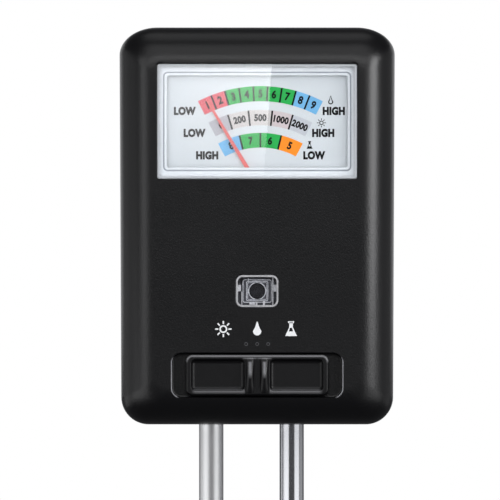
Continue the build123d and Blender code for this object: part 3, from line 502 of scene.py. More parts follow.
loops = [grown(outward, bezel_front + depth) for outward, depth in BEZEL_PROFILE]
for y in (bezel_front + BEZEL_LAND, bezel_span.back):
    loops.append(rounded(*FLANGE, FLANGE_CORNER, y, 0, pane.z))
# Painted shade: a grey hoop in the groove stands for the shadow in the gap that frames the dial.
gap_shade_size = [side + 2 * GROOVE[1] for side in OPENING]
gap_shade_hoop = hoop(
    "dial_gap_shade", *gap_shade_size, OPENING_CORNER + GROOVE[1] * CORNER_GROWTH, GROOVE[1] - GROOVE[0],
    *(bezel_front + depth for depth in GAP_SHADE_DEPTHS), 0, pane.z,
)
skirt = [side - 2 * SKIRT for side in FLANGE]
for y in (bezel_span.back, bezel_front + BEZEL_LIP):
    loops.append(rounded(*skirt, FLANGE_CORNER, y, 0, pane.z))
bezel = skin("bezel", loops, ring=True)
foot_ends = (bezel_front + BEZEL_LIP, bezel_span.back + SPARE)
combine(bezel, "DIFFERENCE", [slab("foot", *FOOT, FOOT_CORNER, *foot_ends, 0, bezel_span.bottom)])
print(f"bezel: {len(bezel.data.polygons)} faces")

# %% Mould the light window
LIGHT_POCKET = (7.4, 6.8)
POCKET_CORNER = 0.4
POCKET_FLOOR = 1.0
LIGHT_RIM = 0.3
LENS_EDGE = 0.42
LENS_EDGE_DEPTH = 0.6
LIGHT_FLANGE = (13.0, 10.4)

boss = [side - 2 * WINDOW_GAP for side in light_size]
corner = LIGHT_CORNER - WINDOW_GAP
loops = rim_loops(*boss, corner, light_span.front, LIGHT_RIM, 1, 0, light_span.z)
loops.append(rounded(*boss, corner, inner_face + CLEARANCE, 0, light_span.z))
for y in (inner_face + CLEARANCE, light_span.back):
    loops.append(rounded(*LIGHT_FLANGE, FLANGE_CORNER, y, 0, light_span.z))
for y in (light_span.back, inner_face - POCKET_FLOOR):
    loops.append(rounded(*LIGHT_POCKET, POCKET_CORNER, y, 0, light_span.z))
light_lens = skin("light_lens", loops)
lens_edge = hoop(
    "lens_edge", *(side + CLEARANCE for side in boss), corner, LENS_EDGE,
    light_span.front - CLEARANCE / 2, light_span.front + LENS_EDGE_DEPTH, 0, light_span.z,
)
print(f"light window: {light_span.width:.1f} x {light_span.height:.1f} mm over its flange")

# %% Mould the cell holder and its guides
holder_span = Span("cell_holder")
cell = Span("light_cell")
HOLDER_CORE = (7.0, 6.4)
HOLDER_GAP = 0.05
CORE_FRONT = -15.6
CELL_BORE = 1.95
GUIDE_HEIGHT = 0.22
GUIDE_ROOT = 0.05
# Each ring of the guide: its width, height, corner and bar. The last one runs round the cell.
GUIDE_RINGS = [(6.9, 5.5, 0.5, 0.2), (5.2, 4.7, 0.35, 0.16), (4.6, 4.1, 0.3, 0.12)]
# Each rib of the guide: its middle from the cell's, and its size.
GUIDE_RIBS = [
    (-4.26, 0.69, 0.86, 1.5), (4.28, 0.67, 0.8, 1.6), (-3.62, -1.9, 0.18, 3.6), (3.7, 0.0, 0.26, 7.0),
    (-0.16, -3.0, 0.42, 1.0), (1.6, -2.95, 0.46, 1.15), (-1.2, -3.0, 1.3, 0.5), (-2.1, 2.6, 0.16, 0.8),
]
CELL_RING = (4.25, 4.25, 2.12, 0.2)
GUIDE_CORNER = 0.08
LENS_DEPTH = 0.9
RIB_DEPTH = 0.3

holder_body = (holder_span.width, holder_span.height, FLANGE_CORNER)
holder_ends = (light_span.back + HOLDER_GAP, holder_span.back)
cell_holder = slab("smoky_holder", *holder_body, *holder_ends, 0, light_span.z)
core_ends = (CORE_FRONT, light_span.back + SPARE)
core = slab("core", *HOLDER_CORE, POCKET_CORNER, *core_ends, 0, light_span.z)
combine(cell_holder, "UNION", [core])
bore = rod("bore", CELL_BORE, CORE_FRONT - SPARE, holder_span.back + SPARE, cell.x, cell.z)
combine(cell_holder, "DIFFERENCE", [bore])

ring_ends = (CORE_FRONT - GUIDE_HEIGHT, CORE_FRONT + GUIDE_ROOT)
guides = [hoop("guide", *ring, *ring_ends, 0, light_span.z) for ring in GUIDE_RINGS]
guides.append(hoop("guide", *CELL_RING, *ring_ends, cell.x, cell.z))
lens_floor = light_span.front + LENS_DEPTH
rib_ends = (lens_floor, lens_floor + RIB_DEPTH)
for x, z, width, height in GUIDE_RIBS:
    guides.append(slab("guide", width, height, GUIDE_CORNER, *rib_ends, x, light_span.z + z))
print(f"light guide: {len(guides)} ridges round a bore of {2 * CELL_BORE:.1f} mm")

# %% [markdown]
# ## The slide knob
#
# A thumb rests in one of two shallow pans and pushes against two ribs between them. The knob is a
# slab with a rolled rim; the pans are cut with a tool that has both a rounded lip and a rounded
# floor, and the ribs are two more slabs. It rides on the CAD body that slides.

# %% Shape the knob
KNOB_FACE = 1.2
KNOB_CORNER = 1.6
KNOB_RIM = 0.55
PAN = (12.5, 7.3)
PAN_CORNER = 1.0
PAN_DEPTH = 1.0
PAN_LIP = 0.3
PAN_X = 9.3
PAN_FLOOR = 0.96
KNOB_GAP = 0.1
RIB = (2.0, 8.3)
RIB_X = 1.7
RIB_END = 0.35
RIB_ROOT = 0.7
RIB_STEPS = 16
# How round a rib is: along its ridge, and where it narrows at its ends.
RIDGE_ROUND = 0.01
RIB_SQUEEZE = (0.94, 12)
STEM = (9.0, 3.0)
STEM_CORNER = 0.1
STEM_ROOT = 0.3
knob_face = knob_span.front + KNOB_FACE
knob_size = (knob_span.width, knob_span.height)

knob = slab("knob", *knob_size, KNOB_CORNER, knob_face, inner_face - KNOB_GAP, 0, switch_z, KNOB_RIM)
pans = [
    mouth("pan", *PAN, PAN_CORNER, knob_face, PAN_DEPTH, PAN_LIP, side * PAN_X, switch_z, PAN_FLOOR)
    for side in (-1, 1)
]
combine(knob, "DIFFERENCE", pans)


def gable(name, x):
    """A rib with a round back that rises from both ends to a ridge in the middle."""
    turns = [math.pi * point / RIB_STEPS for point in range(RIB_STEPS + 1)]
    loops = []
    for step in range(RIB_STEPS + 1):
        along = 2 * step / RIB_STEPS - 1
        ridge = 1 - math.sqrt(along ** 2 + RIDGE_ROUND)
        rise = RIB_END + (knob_face - knob_span.front - RIB_END) * ridge
        squeeze = math.sqrt(1 - (RIB_SQUEEZE[0] * along) ** RIB_SQUEEZE[1])
        half = RIB[0] / 2 * squeeze
        z = switch_z + along * RIB[1] / 2
        bulge = rise * squeeze
        back = [(x + half * math.cos(turn), knob_face - bulge * math.sin(turn), z) for turn in turns]
        foot = [(x + side * half, knob_face + RIB_ROOT, z) for side in (-1, 1)]
        loops.append(back + foot)
    return skin(name, loops)


ribs = [gable("rib", side * RIB_X) for side in (-1, 1)]
stem = slab("stem", *STEM, STEM_CORNER, inner_face - STEM_ROOT, knob_span.back, 0, switch_z)
combine(knob, "UNION", ribs + [stem])
print(f"knob: {len(knob.data.polygons)} faces")

# %% [markdown]
# ## The probes
#
# Each probe is one turned rod: a point for the soil, a shoulder that stops against the housing, and
# inside it a groove for the clamp and a neck for the solder tag. A lathe profile says all of this in
# a list of radii and heights, which a loop of circles follows.

# %% Turn the probes
PROBE_RADIUS = 2.9
TIP_LENGTH = 9.0
TURN_STEPS = 64
tip = probes[0].bottom
cone_top = tip + TIP_LENGTH
# Radius and height from the soil upwards: the point, the rod, and the shank inside the housing.
PROBE_PROFILE = [
    (0.12, tip), (0.26, tip + 0.08), (0.34, tip + 0.3),
    (PROBE_RADIUS - 0.06, cone_top - 0.3), (PROBE_RADIUS - 0.01, cone_top),
    (PROBE_RADIUS, cone_top + 0.4), (PROBE_RADIUS, -0.12),
    (2.78, 0.0), (2.5, 0.0), (2.5, 8.5), (1.8, 8.5), (1.8, 10.5), (2.5, 10.5),
    (2.5, 17.0), (1.4, 17.0), (1.4, 17.5), (2.1, 17.5), (2.1, 18.0), (1.8, 18.3),
]


def lathe(name, profile, x):
    """Turns a profile of radii and heights round an upright axis on the parting plane."""
    turns = [math.tau * step / TURN_STEPS for step in range(TURN_STEPS)]
    loops = [
        [(x + radius * math.cos(turn), radius * math.sin(turn), z) for turn in turns]
        for radius, z in profile
    ]
    return skin(name, loops)


rods = [lathe(name, PROBE_PROFILE, span.x) for name, span in zip(("rod_left", "rod_right"), probes)]
print(f"probes: {-tip:.0f} mm long, {probes[1].x - probes[0].x:.1f} mm apart")

# %% [markdown]
# ## Node trees, written as sums
#
# A node tree that is wired by hand is slow to read. Here a small class wraps one output socket, and
# arithmetic on it adds the Math nodes. Every other node comes from one method that takes its type,
# its settings and the values or links of its sockets. The same class builds geometry, materials and
# the world.

# %% A small language for node trees


class Signal:
    """A number that varies, as the output socket that carries it."""

    def __init__(self, sheet, socket):
        self.sheet = sheet
        self.socket = socket

    def math(self, operation, *others):
        """A Math node that works on this signal and then on the others."""
        values = dict(enumerate((self, *others)))
        return self.sheet.signal(self.sheet.node("ShaderNodeMath", {"operation": operation}, values))

    def __add__(self, other):
        return self.math("ADD", other)

    def __sub__(self, other):
        return self.math("SUBTRACT", other)

    def __rsub__(self, other):
        return self.math("MULTIPLY_ADD", -1.0, other)

    def __mul__(self, other):
        return self.math("MULTIPLY", other)

    def __truediv__(self, other):
        return self.math("DIVIDE", other)

    def above(self, floor):
        return self.math("MAXIMUM", floor)

    def below(self, ceiling):
        return self.math("MINIMUM", ceiling)

    def size(self):
        return self.math("ABSOLUTE")

    def root(self):
        return self.math("SQRT")

    def unit(self):
        """Kept between 0 and 1."""
        return self.above(0.0).below(1.0)

    __radd__ = __add__
    __rmul__ = __mul__


class Sheet:
    """A node tree under construction."""

    def __init__(self, tree):
        self.tree = tree
        tree.nodes.clear()

    def signal(self, made, output=0):
        return Signal(self, made.outputs[output])

    def node(self, kind, settings=None, values=None):
        """Adds a node. Its settings come first, because some of them change its sockets."""
        made = self.tree.nodes.new(kind)
        for name, value in (settings or {}).items():
            if name == "stops":
                ramp = made.color_ramp
                while len(ramp.elements) < len(value):
                    ramp.elements.new(1.0)
                for element, (position, colour) in zip(ramp.elements, value):
                    element.position = position
                    element.color = colour
            else:
                setattr(made, name, value)
        for name, value in (values or {}).items():
            if isinstance(value, Signal):
                self.tree.links.new(value.socket, made.inputs[name])
            else:
                made.inputs[name].default_value = value
        return made


print("node trees can be written as sums")

# %% [markdown]
# ## Print on the dial
#
# The dial is a printed plate: three bands of coloured cells on one centre, dark dividers between the
# cells, and figures that lean with the band. Cells and dividers repeat, so Geometry Nodes make them:
# one tree bends a thin box round an arc, and one sets a row of bars at equal angles. The ink is a
# few hundredths of a millimetre thick, so that each mark is a real, closed shape.

# %% Open and close a geometry tree
INK = 0.03


def geometry_tree(name, inputs):
    """An empty Geometry Nodes tree with named inputs, given as (name, socket type)."""
    tree = bpy.data.node_groups.new(name, "GeometryNodeTree")
    tree.interface.new_socket("Geometry", in_out="INPUT", socket_type="NodeSocketGeometry")
    for label, kind in inputs:
        tree.interface.new_socket(label, in_out="INPUT", socket_type=f"NodeSocket{kind}")
    tree.interface.new_socket("Geometry", in_out="OUTPUT", socket_type="NodeSocketGeometry")
    sheet = Sheet(tree)
    given = sheet.node("NodeGroupInput")
    labels = ["Geometry"] + [label for label, _ in inputs]
    sheet.given = {label: Signal(sheet, given.outputs[label]) for label in labels}
    return sheet


def close_tree(sheet, geometry):
    """Ends a tree: instances become real mesh, and the mesh gets its material."""
    real = sheet.signal(sheet.node("GeometryNodeRealizeInstances", None, {"Geometry": geometry}))
    values = {"Geometry": real, "Material": sheet.given["Material"]}
    dressed = sheet.node("GeometryNodeSetMaterial", None, values)
    sheet.node("NodeGroupOutput", None, {"Geometry": sheet.signal(dressed)})
    return sheet.tree


print("geometry trees can be opened and closed")

# %% Trees for bands and dividers
BAND_STEPS = 64


def polar(sheet, radius, angle, depth):
    """A position on the dial, from a radius and an angle from upright about the scale's centre."""
    x = sheet.given["Centre X"] + radius * angle.math("SINE")
    z = sheet.given["Centre Z"] + radius * angle.math("COSINE")
    return sheet.signal(sheet.node("ShaderNodeCombineXYZ", None, {"X": x, "Y": depth, "Z": z}))


ARC_INPUTS = [
    ("Centre X", "Float"), ("Centre Z", "Float"), ("Front", "Float"), ("Thickness", "Float"),
    ("Inner Radius", "Float"), ("Outer Radius", "Float"), ("First Angle", "Float"),
]


def band_tree():
    """Bends a thin box round an arc."""
    sheet = geometry_tree("dial_band", ARC_INPUTS + [("Last Angle", "Float"), ("Material", "Material")])
    given = sheet.given
    size = {"Size": (1, 1, 1), "Vertices X": BAND_STEPS, "Vertices Y": 2, "Vertices Z": 2}
    box = sheet.signal(sheet.node("GeometryNodeMeshCube", None, size))
    place = sheet.signal(sheet.node("GeometryNodeInputPosition"))
    parts = sheet.node("ShaderNodeSeparateXYZ", None, {"Vector": place})
    along, out, up = (sheet.signal(parts, axis) + 0.5 for axis in range(3))
    angle = given["First Angle"] + along * (given["Last Angle"] - given["First Angle"])
    radius = given["Inner Radius"] + out * (given["Outer Radius"] - given["Inner Radius"])
    bent = polar(sheet, radius, angle, given["Front"] - up * given["Thickness"])
    moved = sheet.node("GeometryNodeSetPosition", None, {"Geometry": box, "Position": bent})
    return close_tree(sheet, sheet.signal(moved))


def divider_tree():
    """Sets thin bars along radii, at equal angles."""
    own_inputs = [("Step", "Float"), ("Count", "Int"), ("Width", "Float"), ("Material", "Material")]
    sheet = geometry_tree("dial_dividers", ARC_INPUTS + own_inputs)
    given = sheet.given
    index = sheet.signal(sheet.node("GeometryNodeInputIndex"))
    angle = given["First Angle"] + index * given["Step"]
    middle = 0.5 * (given["Inner Radius"] + given["Outer Radius"])
    line = sheet.signal(sheet.node("GeometryNodeMeshLine", None, {"Count": given["Count"]}))
    depth = given["Front"] - 0.5 * given["Thickness"]
    place = polar(sheet, middle, angle, depth)
    spots = sheet.node("GeometryNodeSetPosition", None, {"Geometry": line, "Position": place})
    length = given["Outer Radius"] - given["Inner Radius"]
    values = {"X": given["Width"], "Y": given["Thickness"], "Z": length}
    size = sheet.node("ShaderNodeCombineXYZ", None, values)
    bar = sheet.node("GeometryNodeMeshCube", None, {"Size": sheet.signal(size)})
    lean = sheet.signal(sheet.node("ShaderNodeCombineXYZ", None, {"Y": angle}))
    rows = sheet.node(
        "GeometryNodeInstanceOnPoints", None,
        {"Points": sheet.signal(spots), "Instance": sheet.signal(bar), "Rotation": lean},
    )
    return close_tree(sheet, sheet.signal(rows))


bands = band_tree()
dividers = divider_tree()
print(f"geometry trees: {bands.name}, {dividers.name}")

# %% Run a tree
def grow(name, tree, values, points=()):
    """Runs a tree on a few points and keeps the mesh that it makes. Inputs are set by identifier."""
    mesh = bpy.data.meshes.new(name)
    mesh.from_pydata([Vector(point) * MM for point in points], [], [])
    piece = bpy.data.objects.new(name, mesh)
    scene.collection.objects.link(piece)
    modifier = piece.modifiers.new(tree.name, "NODES")
    modifier.node_group = tree
    for socket in tree.interface.items_tree:
        if socket.in_out == "INPUT" and socket.name in values:
            modifier[socket.identifier] = values[socket.name]
    return shade(settle(piece))


print("trees can be run on a few points")

# %% [markdown]
# ## Screws
#
# Four screws in deep wells hold the shells together. A screw is the same shape four times, so one
# tree builds it once, from a bevelled head, a cross cut into it and a shank, and sets it on each
# point. The CAD's own screws are plain, so these take their place.

# %% Tree for a row of screws
SCREW_INPUTS = [
    ("Head Radius", "Float"), ("Head Height", "Float"), ("Shank Radius", "Float"), ("Length", "Float"),
    ("Cross Width", "Float"), ("Cross Length", "Float"), ("Cross Depth", "Float"), ("Material", "Material"),
]
SCREW_SIDES = 40
# Shares of the head's height and radius: a straight cylinder is cut to a cone that is wider below.
CYLINDER_TOP = 1.2
TAPER_FOOT = 0.45
TAPER_RADII = (0.72, 1.622)
SHANK_ROOT = 0.3
SHANK_TIP = 0.35
# The second arm of the cross is cut less deep, so that no two faces of the tools coincide.
ARM_DEPTHS = (2.0, 1.9)
SCREW_TURN = (math.radians(-90), math.radians(20), 0)


def screw_tree():
    """Sets a cross-head screw on every point. Its head faces the back."""
    sheet = geometry_tree("case_screw", SCREW_INPUTS)
    given = sheet.given

    def lifted(piece, height):
        offset = sheet.signal(sheet.node("ShaderNodeCombineXYZ", None, {"Z": height}))
        moved = sheet.node("GeometryNodeTransform", None, {"Geometry": piece, "Translation": offset})
        return sheet.signal(moved)

    def cone(top, bottom, depth, height):
        values = {"Vertices": SCREW_SIDES, "Radius Top": top, "Radius Bottom": bottom, "Depth": depth}
        return lifted(sheet.signal(sheet.node("GeometryNodeMeshCone", None, values)), height)

    def merged(operation, pieces, base=None):
        node = sheet.node("GeometryNodeMeshBoolean", {"operation": operation})
        for piece in pieces:
            sheet.tree.links.new(piece.socket, node.inputs["Mesh 2"])
        if base:
            sheet.tree.links.new(base.socket, node.inputs["Mesh 1"])
        return sheet.signal(node)

    def arm(width, length, share):
        values = {"X": width, "Y": length, "Z": share * given["Cross Depth"]}
        size = sheet.signal(sheet.node("ShaderNodeCombineXYZ", None, values))
        return lifted(sheet.signal(sheet.node("GeometryNodeMeshCube", None, {"Size": size})), height)

    radius, height = given["Head Radius"], given["Head Height"]
    shank_radius = given["Shank Radius"]
    cylinder = cone(radius, radius, CYLINDER_TOP * height, 0.0)
    narrow, wide = (share * radius for share in TAPER_RADII)
    taper = cone(narrow, wide, (1 + TAPER_FOOT) * height, -TAPER_FOOT * height)
    head = merged("INTERSECT", [taper, cylinder])
    shank_length = given["Length"] + SHANK_ROOT * height
    shank = cone(shank_radius, SHANK_TIP * shank_radius, shank_length, -1 * given["Length"])
    sides = (given["Cross Length"], given["Cross Width"])
    arms = [arm(*sides, ARM_DEPTHS[0]), arm(*reversed(sides), ARM_DEPTHS[1])]
    screw = merged("DIFFERENCE", arms, merged("UNION", [shank, head]))
    values = {"Points": given["Geometry"], "Instance": screw, "Rotation": SCREW_TURN}
    return close_tree(sheet, sheet.signal(sheet.node("GeometryNodeInstanceOnPoints", None, values)))


screws = screw_tree()
print(f"geometry tree: {screws.name}, {SCREW_SIDES} sides")

# %% [markdown]
# ## Finishes
#
# Every finish below answers three questions: what colour is it, how does it scatter light, and what
# small relief or unevenness gives it away? The relief reads Object coordinates in metres, so a
# texture keeps its true size on every piece. Numbers that are the same all over sit on the shader
# itself; only colour, roughness and relief vary.

# %% Start a finish
finishes = {}


def begin(name):
    """A new material as a sheet, with its Object coordinates."""
    material = bpy.data.materials.new(name)
    material.use_nodes = True
    sheet = Sheet(material.node_tree)
    sheet.material = material
    sheet.place = sheet.signal(sheet.node("ShaderNodeTexCoord"), "Object")
    finishes[name] = material
    return sheet


def grain(sheet, size, stretch=(1, 1, 1), detail=2.0, rough=0.5):
    """Noise whose grains are about size millimetres across, drawn out by stretch."""
    scale = tuple(1 / (size * MM * pull) for pull in stretch)
    mapped = sheet.node("ShaderNodeMapping", None, {"Vector": sheet.place, "Scale": scale})
    values = {"Vector": sheet.signal(mapped), "Scale": 1.0, "Detail": detail, "Roughness": rough}
    return sheet.signal(sheet.node("ShaderNodeTexNoise", None, values), "Fac")


# A Mix node has sockets of the same name for each kind of data, so colour goes by number.
FACTOR, COLOUR_A, COLOUR_B, MIXED_COLOUR = 0, 6, 7, 2


def tint(sheet, dark, light, mask):
    """A colour between two, by a mask from 0 to 1. Either colour may be a mix itself."""
    ends = [colour if isinstance(colour, Signal) else (*colour, 1) for colour in (dark, light)]
    values = {FACTOR: mask, COLOUR_A: ends[0], COLOUR_B: ends[1]}
    return sheet.signal(sheet.node("ShaderNodeMix", {"data_type": "RGBA"}, values), MIXED_COLOUR)


def relief(sheet, height, depth, strength=1.0):
    """Turns a height from 0 to 1 into a normal, for relief of depth millimetres."""
    values = {"Strength": strength, "Distance": depth * MM, "Height": height}
    return sheet.signal(sheet.node("ShaderNodeBump", None, values))


def end(sheet, **sockets):
    """Adds the shader and the output. Sockets are named with _ for a space."""
    values = {name.replace("_", " "): value for name, value in sockets.items()}
    shader = sheet.node("ShaderNodeBsdfPrincipled", None, values)
    sheet.node("ShaderNodeOutputMaterial", None, {"Surface": sheet.signal(shader)})
    return sheet.material


print("ready to mix finishes")

# %% [markdown]
# ## Black plastic with painted highlights
#
# The housing was moulded in a spark-eroded tool, so its skin is finely pebbled. Edges that catch the
# lamps get painted highlights: the colour is paler and the roughness a little lower along the ends of
# the switch's recess, on the knob's upper rim, on the lower slopes of its pans and on its ribs. Such a
# band runs round a rounded rectangle, so its mask is the distance from that outline, written as a sum.

# %% Masks for painted highlights
def coordinate(sheet, axis):
    """X, Y or Z of a place on the piece, in millimetres."""
    parts = sheet.node("ShaderNodeSeparateXYZ", None, {"Vector": sheet.place})
    return sheet.signal(parts, "XYZ".index(axis)) / MM


def outline_distance(sheet, size, corner, z):
    """Millimetres from a rounded rectangle that faces the front: negative inside it."""
    past_x = coordinate(sheet, "X").size() - (size[0] / 2 - corner)
    past_z = (coordinate(sheet, "Z") - z).size() - (size[1] / 2 - corner)
    out_x, out_z = past_x.above(0.0), past_z.above(0.0)
    return (out_x * out_x + out_z * out_z).root() + past_x.above(past_z).below(0.0) - corner


def line_at(distance, middle, width):
    """A mask that is 1 on a line and fades to 0 at half its width."""
    return (1 - (distance - middle).size() / (width / 2)).unit()


def beyond(value, start, soft):
    """A mask that rises from 0 at start to 1, over soft millimetres."""
    return ((value - start) / soft).unit()


print("masks: line_at and beyond")

# %% Where highlights are painted on the black plastic
# The colour of the knob's painted highlights on its rim and ribs.
HIGHLIGHT_PAINT = (0.2, 0.2, 0.21)


# Every painted highlight line has a middle and a width, and every mask a start and a soft edge, in
# millimetres.
def recess_highlight_paint(sheet):
    """A painted highlight along both ends of the switch's recess, where its lip catches the lamps at the
    sides.
    """
    distance = outline_distance(sheet, RECESS, RECESS_CORNER, switch_z)
    ends = beyond(coordinate(sheet, "X").size(), RECESS[0] / 2 - RECESS_CORNER + 0.6, 0.8)
    below_top = beyond(switch_z + RECESS[1] / 2 - 0.9 - coordinate(sheet, "Z"), 0.0, 1.2)
    front = beyond(0 - coordinate(sheet, "Y"), -case.front - 1.0, 0.3)
    return [(line_at(distance, 0.06, 0.5) * ends * below_top * front, (0.34, 0.34, 0.36))]


def knob_highlight_paint(sheet):
    """Painted highlights on the knob's upper rim, the lower slopes of its pans, and the backs and tops of
    its ribs, where these faces tip up toward the lamps above.
    """
    side = coordinate(sheet, "X").size()
    height = coordinate(sheet, "Z") - switch_z
    rim = line_at(outline_distance(sheet, knob_size, KNOB_CORNER, switch_z), -0.28, 0.75)
    rim = rim * beyond(height, 2.9, 0.9)
    sides = beyond(side, RIB_X + RIB[0] / 2 + 0.1, 0.3) * beyond(PAN_X + PAN[0] / 2 - side, 0.0, 0.9)
    slope = line_at(height, -0.15 - PAN[1] / 2, 1.4) * sides
    back = (beyond(height, -0.9, 1.6) * (1 - beyond(height, 3.0, 0.3))).unit()
    back = line_at(side, RIB_X, 1.1) * back
    cap = line_at(side, RIB_X, 3.6).root() * line_at(height, 3.98, 0.5)
    return [(rim, HIGHLIGHT_PAINT), (slope, (0.12, 0.12, 0.125)), (back, HIGHLIGHT_PAINT), (cap, HIGHLIGHT_PAINT)]


# The recess and the knob get painted highlights.
print("rubbed: the recess and the knob")

# %% Black moulded plastic
BLACK = (0.0018, 0.0018, 0.0023)


def spark_plastic(name, colour, rough, spark, depth, painted_highlights=None, specular=0.4):
    """Moulded plastic with a finely pebbled skin. The argument after depth gives masks and colours of
    painted highlights.
    """
    sheet = begin(name)
    pebbles = grain(sheet, spark, detail=3.0, rough=0.6)
    drift = grain(sheet, 22.0, detail=1.0)
    deep = tuple(0.5 * channel for channel in colour)
    pale = tuple(1.5 * channel for channel in colour)
    skin_colour = tint(sheet, deep, pale, pebbles)
    roughness = rough + 0.05 * drift + 0.05 * pebbles
    # Painted highlights: paler colour where an edge catches the lamps, and a little less roughness.
    for mask, shine in painted_highlights(sheet) if painted_highlights else []:
        skin_colour = tint(sheet, skin_colour, shine, mask)
        roughness = roughness - 0.1 * mask
    return end(
        sheet,
        Base_Color=skin_colour,
        Roughness=roughness,
        Specular_IOR_Level=specular,
        Normal=relief(sheet, pebbles, depth),
    )


shell_black = spark_plastic("shell_black", BLACK, 0.25, 0.42, 0.032, recess_highlight_paint)
knob_black = spark_plastic("knob_black", BLACK, 0.33, 0.3, 0.012, knob_highlight_paint, 0.27)
inner_black = spark_plastic("inner_black", (0.03, 0.03, 0.033), 0.42, 0.5, 0.03)
clamp_black = spark_plastic("clamp_black", (0.05, 0.05, 0.053), 0.45, 0.5, 0.03)
nylon = spark_plastic("nylon", (0.62, 0.6, 0.54), 0.4, 0.8, 0.02)
smoky_plastic = spark_plastic("smoky_plastic", (0.07, 0.07, 0.078), 0.2, 1.6, 0.05)
guide_frosted = spark_plastic("guide_frosted", (0.5, 0.5, 0.52), 0.25, 0.5, 0.03)
rim_frosted = spark_plastic("rim_frosted", (0.42, 0.42, 0.435), 0.25, 0.5, 0.02)
print(f"{len(finishes)} plastics")

# %% Clear plastic
ACRYLIC_IOR = 1.49


def clear_plastic(name, colour, haze):
    """Clear moulding with a few hazy smears. Rays from the lamps pass through and light the dial."""
    sheet = begin(name)
    smear = grain(sheet, 9.0, detail=3.0)
    clear = {"Base Color": (*colour, 1), "IOR": ACRYLIC_IOR, "Transmission Weight": 1.0}
    clear["Roughness"] = haze * (smear - 0.6).above(0.0)
    shader = sheet.node("ShaderNodeBsdfPrincipled", None, clear)
    through = sheet.node("ShaderNodeBsdfTransparent", None, {"Color": (*colour, 1)})
    rays = sheet.signal(sheet.node("ShaderNodeLightPath"), "Is Shadow Ray")
    values = {0: rays, 1: sheet.signal(shader), 2: sheet.signal(through)}
    both = sheet.node("ShaderNodeMixShader", None, values)
    sheet.node("ShaderNodeOutputMaterial", None, {"Surface": sheet.signal(both)})
    return sheet.material


window_clear = clear_plastic("window_clear", (0.99, 0.995, 1.0), 0.15)
lens_clear = clear_plastic("lens_clear", (0.95, 0.96, 0.98), 0.3)
print(f"two clear mouldings, index {ACRYLIC_IOR}")

# %% Paint and ink
# The dial's paints are matt: they hardly mirror, so that black print stays black under the lamps.
MATT = 0.06


def paint(name, colour, rough=0.5, mottle=0.03, size=1.2, specular=0.5):
    """Thin paint, ink or smooth moulding, with the slight unevenness of a print."""
    sheet = begin(name)
    spots = grain(sheet, size, detail=4.0, rough=0.65)
    deep = tuple(channel * (1 - mottle) for channel in colour)
    pale = tuple(min(channel * (1 + mottle), 1.0) for channel in colour)
    return end(
        sheet,
        Base_Color=tint(sheet, deep, pale, spots),
        Roughness=rough + 0.08 * spots,
        Specular_IOR_Level=specular,
        Normal=relief(sheet, spots, 0.004),
    )


dial_white = paint("dial_white", (0.62, 0.655, 0.68), 0.5, 0.015, 2.0, MATT)
needle_red = paint("needle_red", (0.68, 0.15, 0.145), 0.6, specular=MATT)
bezel_pale = paint("bezel_pale", (0.73, 0.76, 0.79), 0.42, 0.015, 2.0, MATT)
# Painted shade: the grey hoop in the bezel's groove stands for a shadowed gap.
gasket_grey = paint("gasket_grey", (0.31, 0.335, 0.37), 0.5, specular=MATT)
edge_frosted = paint("edge_frosted", (0.76, 0.8, 0.85), 0.3)
INKS = {
    "ink_red": (0.68, 0.12, 0.15),
    "ink_green": (0.022, 0.39, 0.077),
    "ink_blue": (0.17, 0.44, 0.72),
    "ink_orange": (0.9, 0.27, 0.02),
    "ink_grey": (0.43, 0.43, 0.47),
    "ink_beige": (0.58, 0.55, 0.54),
    "ink_rose": (0.585, 0.51, 0.52),
    "ink_sage": (0.515, 0.535, 0.58),
    "ink_black": (0.003, 0.003, 0.004),
    "ink_white": (0.82, 0.83, 0.84),
    "ink_faint": (0.075, 0.075, 0.08),
}
for name, colour in INKS.items():
    paint(name, colour, specular=MATT)
cell_dark = paint("cell_dark", (0.004, 0.004, 0.005), 0.2)
board_green = paint("board_green", (0.015, 0.11, 0.045), 0.3, 0.1, 3.0)
resistor_body = paint("resistor_body", (0.55, 0.42, 0.28), 0.35, 0.08, 0.8)
lead_red = paint("lead_red", (0.4, 0.02, 0.02), 0.4, 0.05, 1.5)
print(f"{len(INKS)} inks")


# %% Metals
def metal(name, colour, rough, size, stretch, depth, spread=0.1):
    """Metal with the marks of how it was made: turned, drawn, rolled or plated."""
    sheet = begin(name)
    marks = grain(sheet, size, stretch, detail=3.0)
    deep = tuple(0.9 * channel for channel in colour)
    return end(
        sheet,
        Base_Color=tint(sheet, deep, colour, marks),
        Metallic=1.0,
        Roughness=rough + spread * marks,
        Normal=relief(sheet, marks, depth),
    )


ALONG = (1, 1, 40)
EVEN = (1, 1, 1)
rod_satin = metal("rod_satin", (0.92, 0.925, 0.93), 0.34, 0.22, ALONG, 0.002, 0.1)
rod_polished = metal("rod_polished", (0.6, 0.605, 0.63), 0.16, 0.3, ALONG, 0.001, 0.05)
screw_plate = metal("screw_plate", (0.63, 0.64, 0.66), 0.22, 0.4, EVEN, 0.004)
iron = metal("iron", (0.42, 0.42, 0.43), 0.32, 0.5, (1, 6, 1), 0.006)
magnet = metal("magnet", (0.22, 0.22, 0.23), 0.4, 0.35, EVEN, 0.01)
brass = metal("brass", (0.76, 0.56, 0.24), 0.2, 0.4, (1, 8, 1), 0.004)
bronze = metal("bronze", (0.68, 0.42, 0.22), 0.18, 0.3, (12, 1, 1), 0.002)
gold = metal("gold", (0.83, 0.61, 0.25), 0.15, 0.5, EVEN, 0.003)
steel = metal("steel", (0.58, 0.59, 0.61), 0.14, 0.3, (1, 20, 1), 0.002)
former = metal("former", (0.78, 0.79, 0.8), 0.2, 0.4, (10, 1, 1), 0.003)
copper = metal("copper", (0.74, 0.29, 0.12), 0.25, 0.12, (30, 30, 1), 0.05)

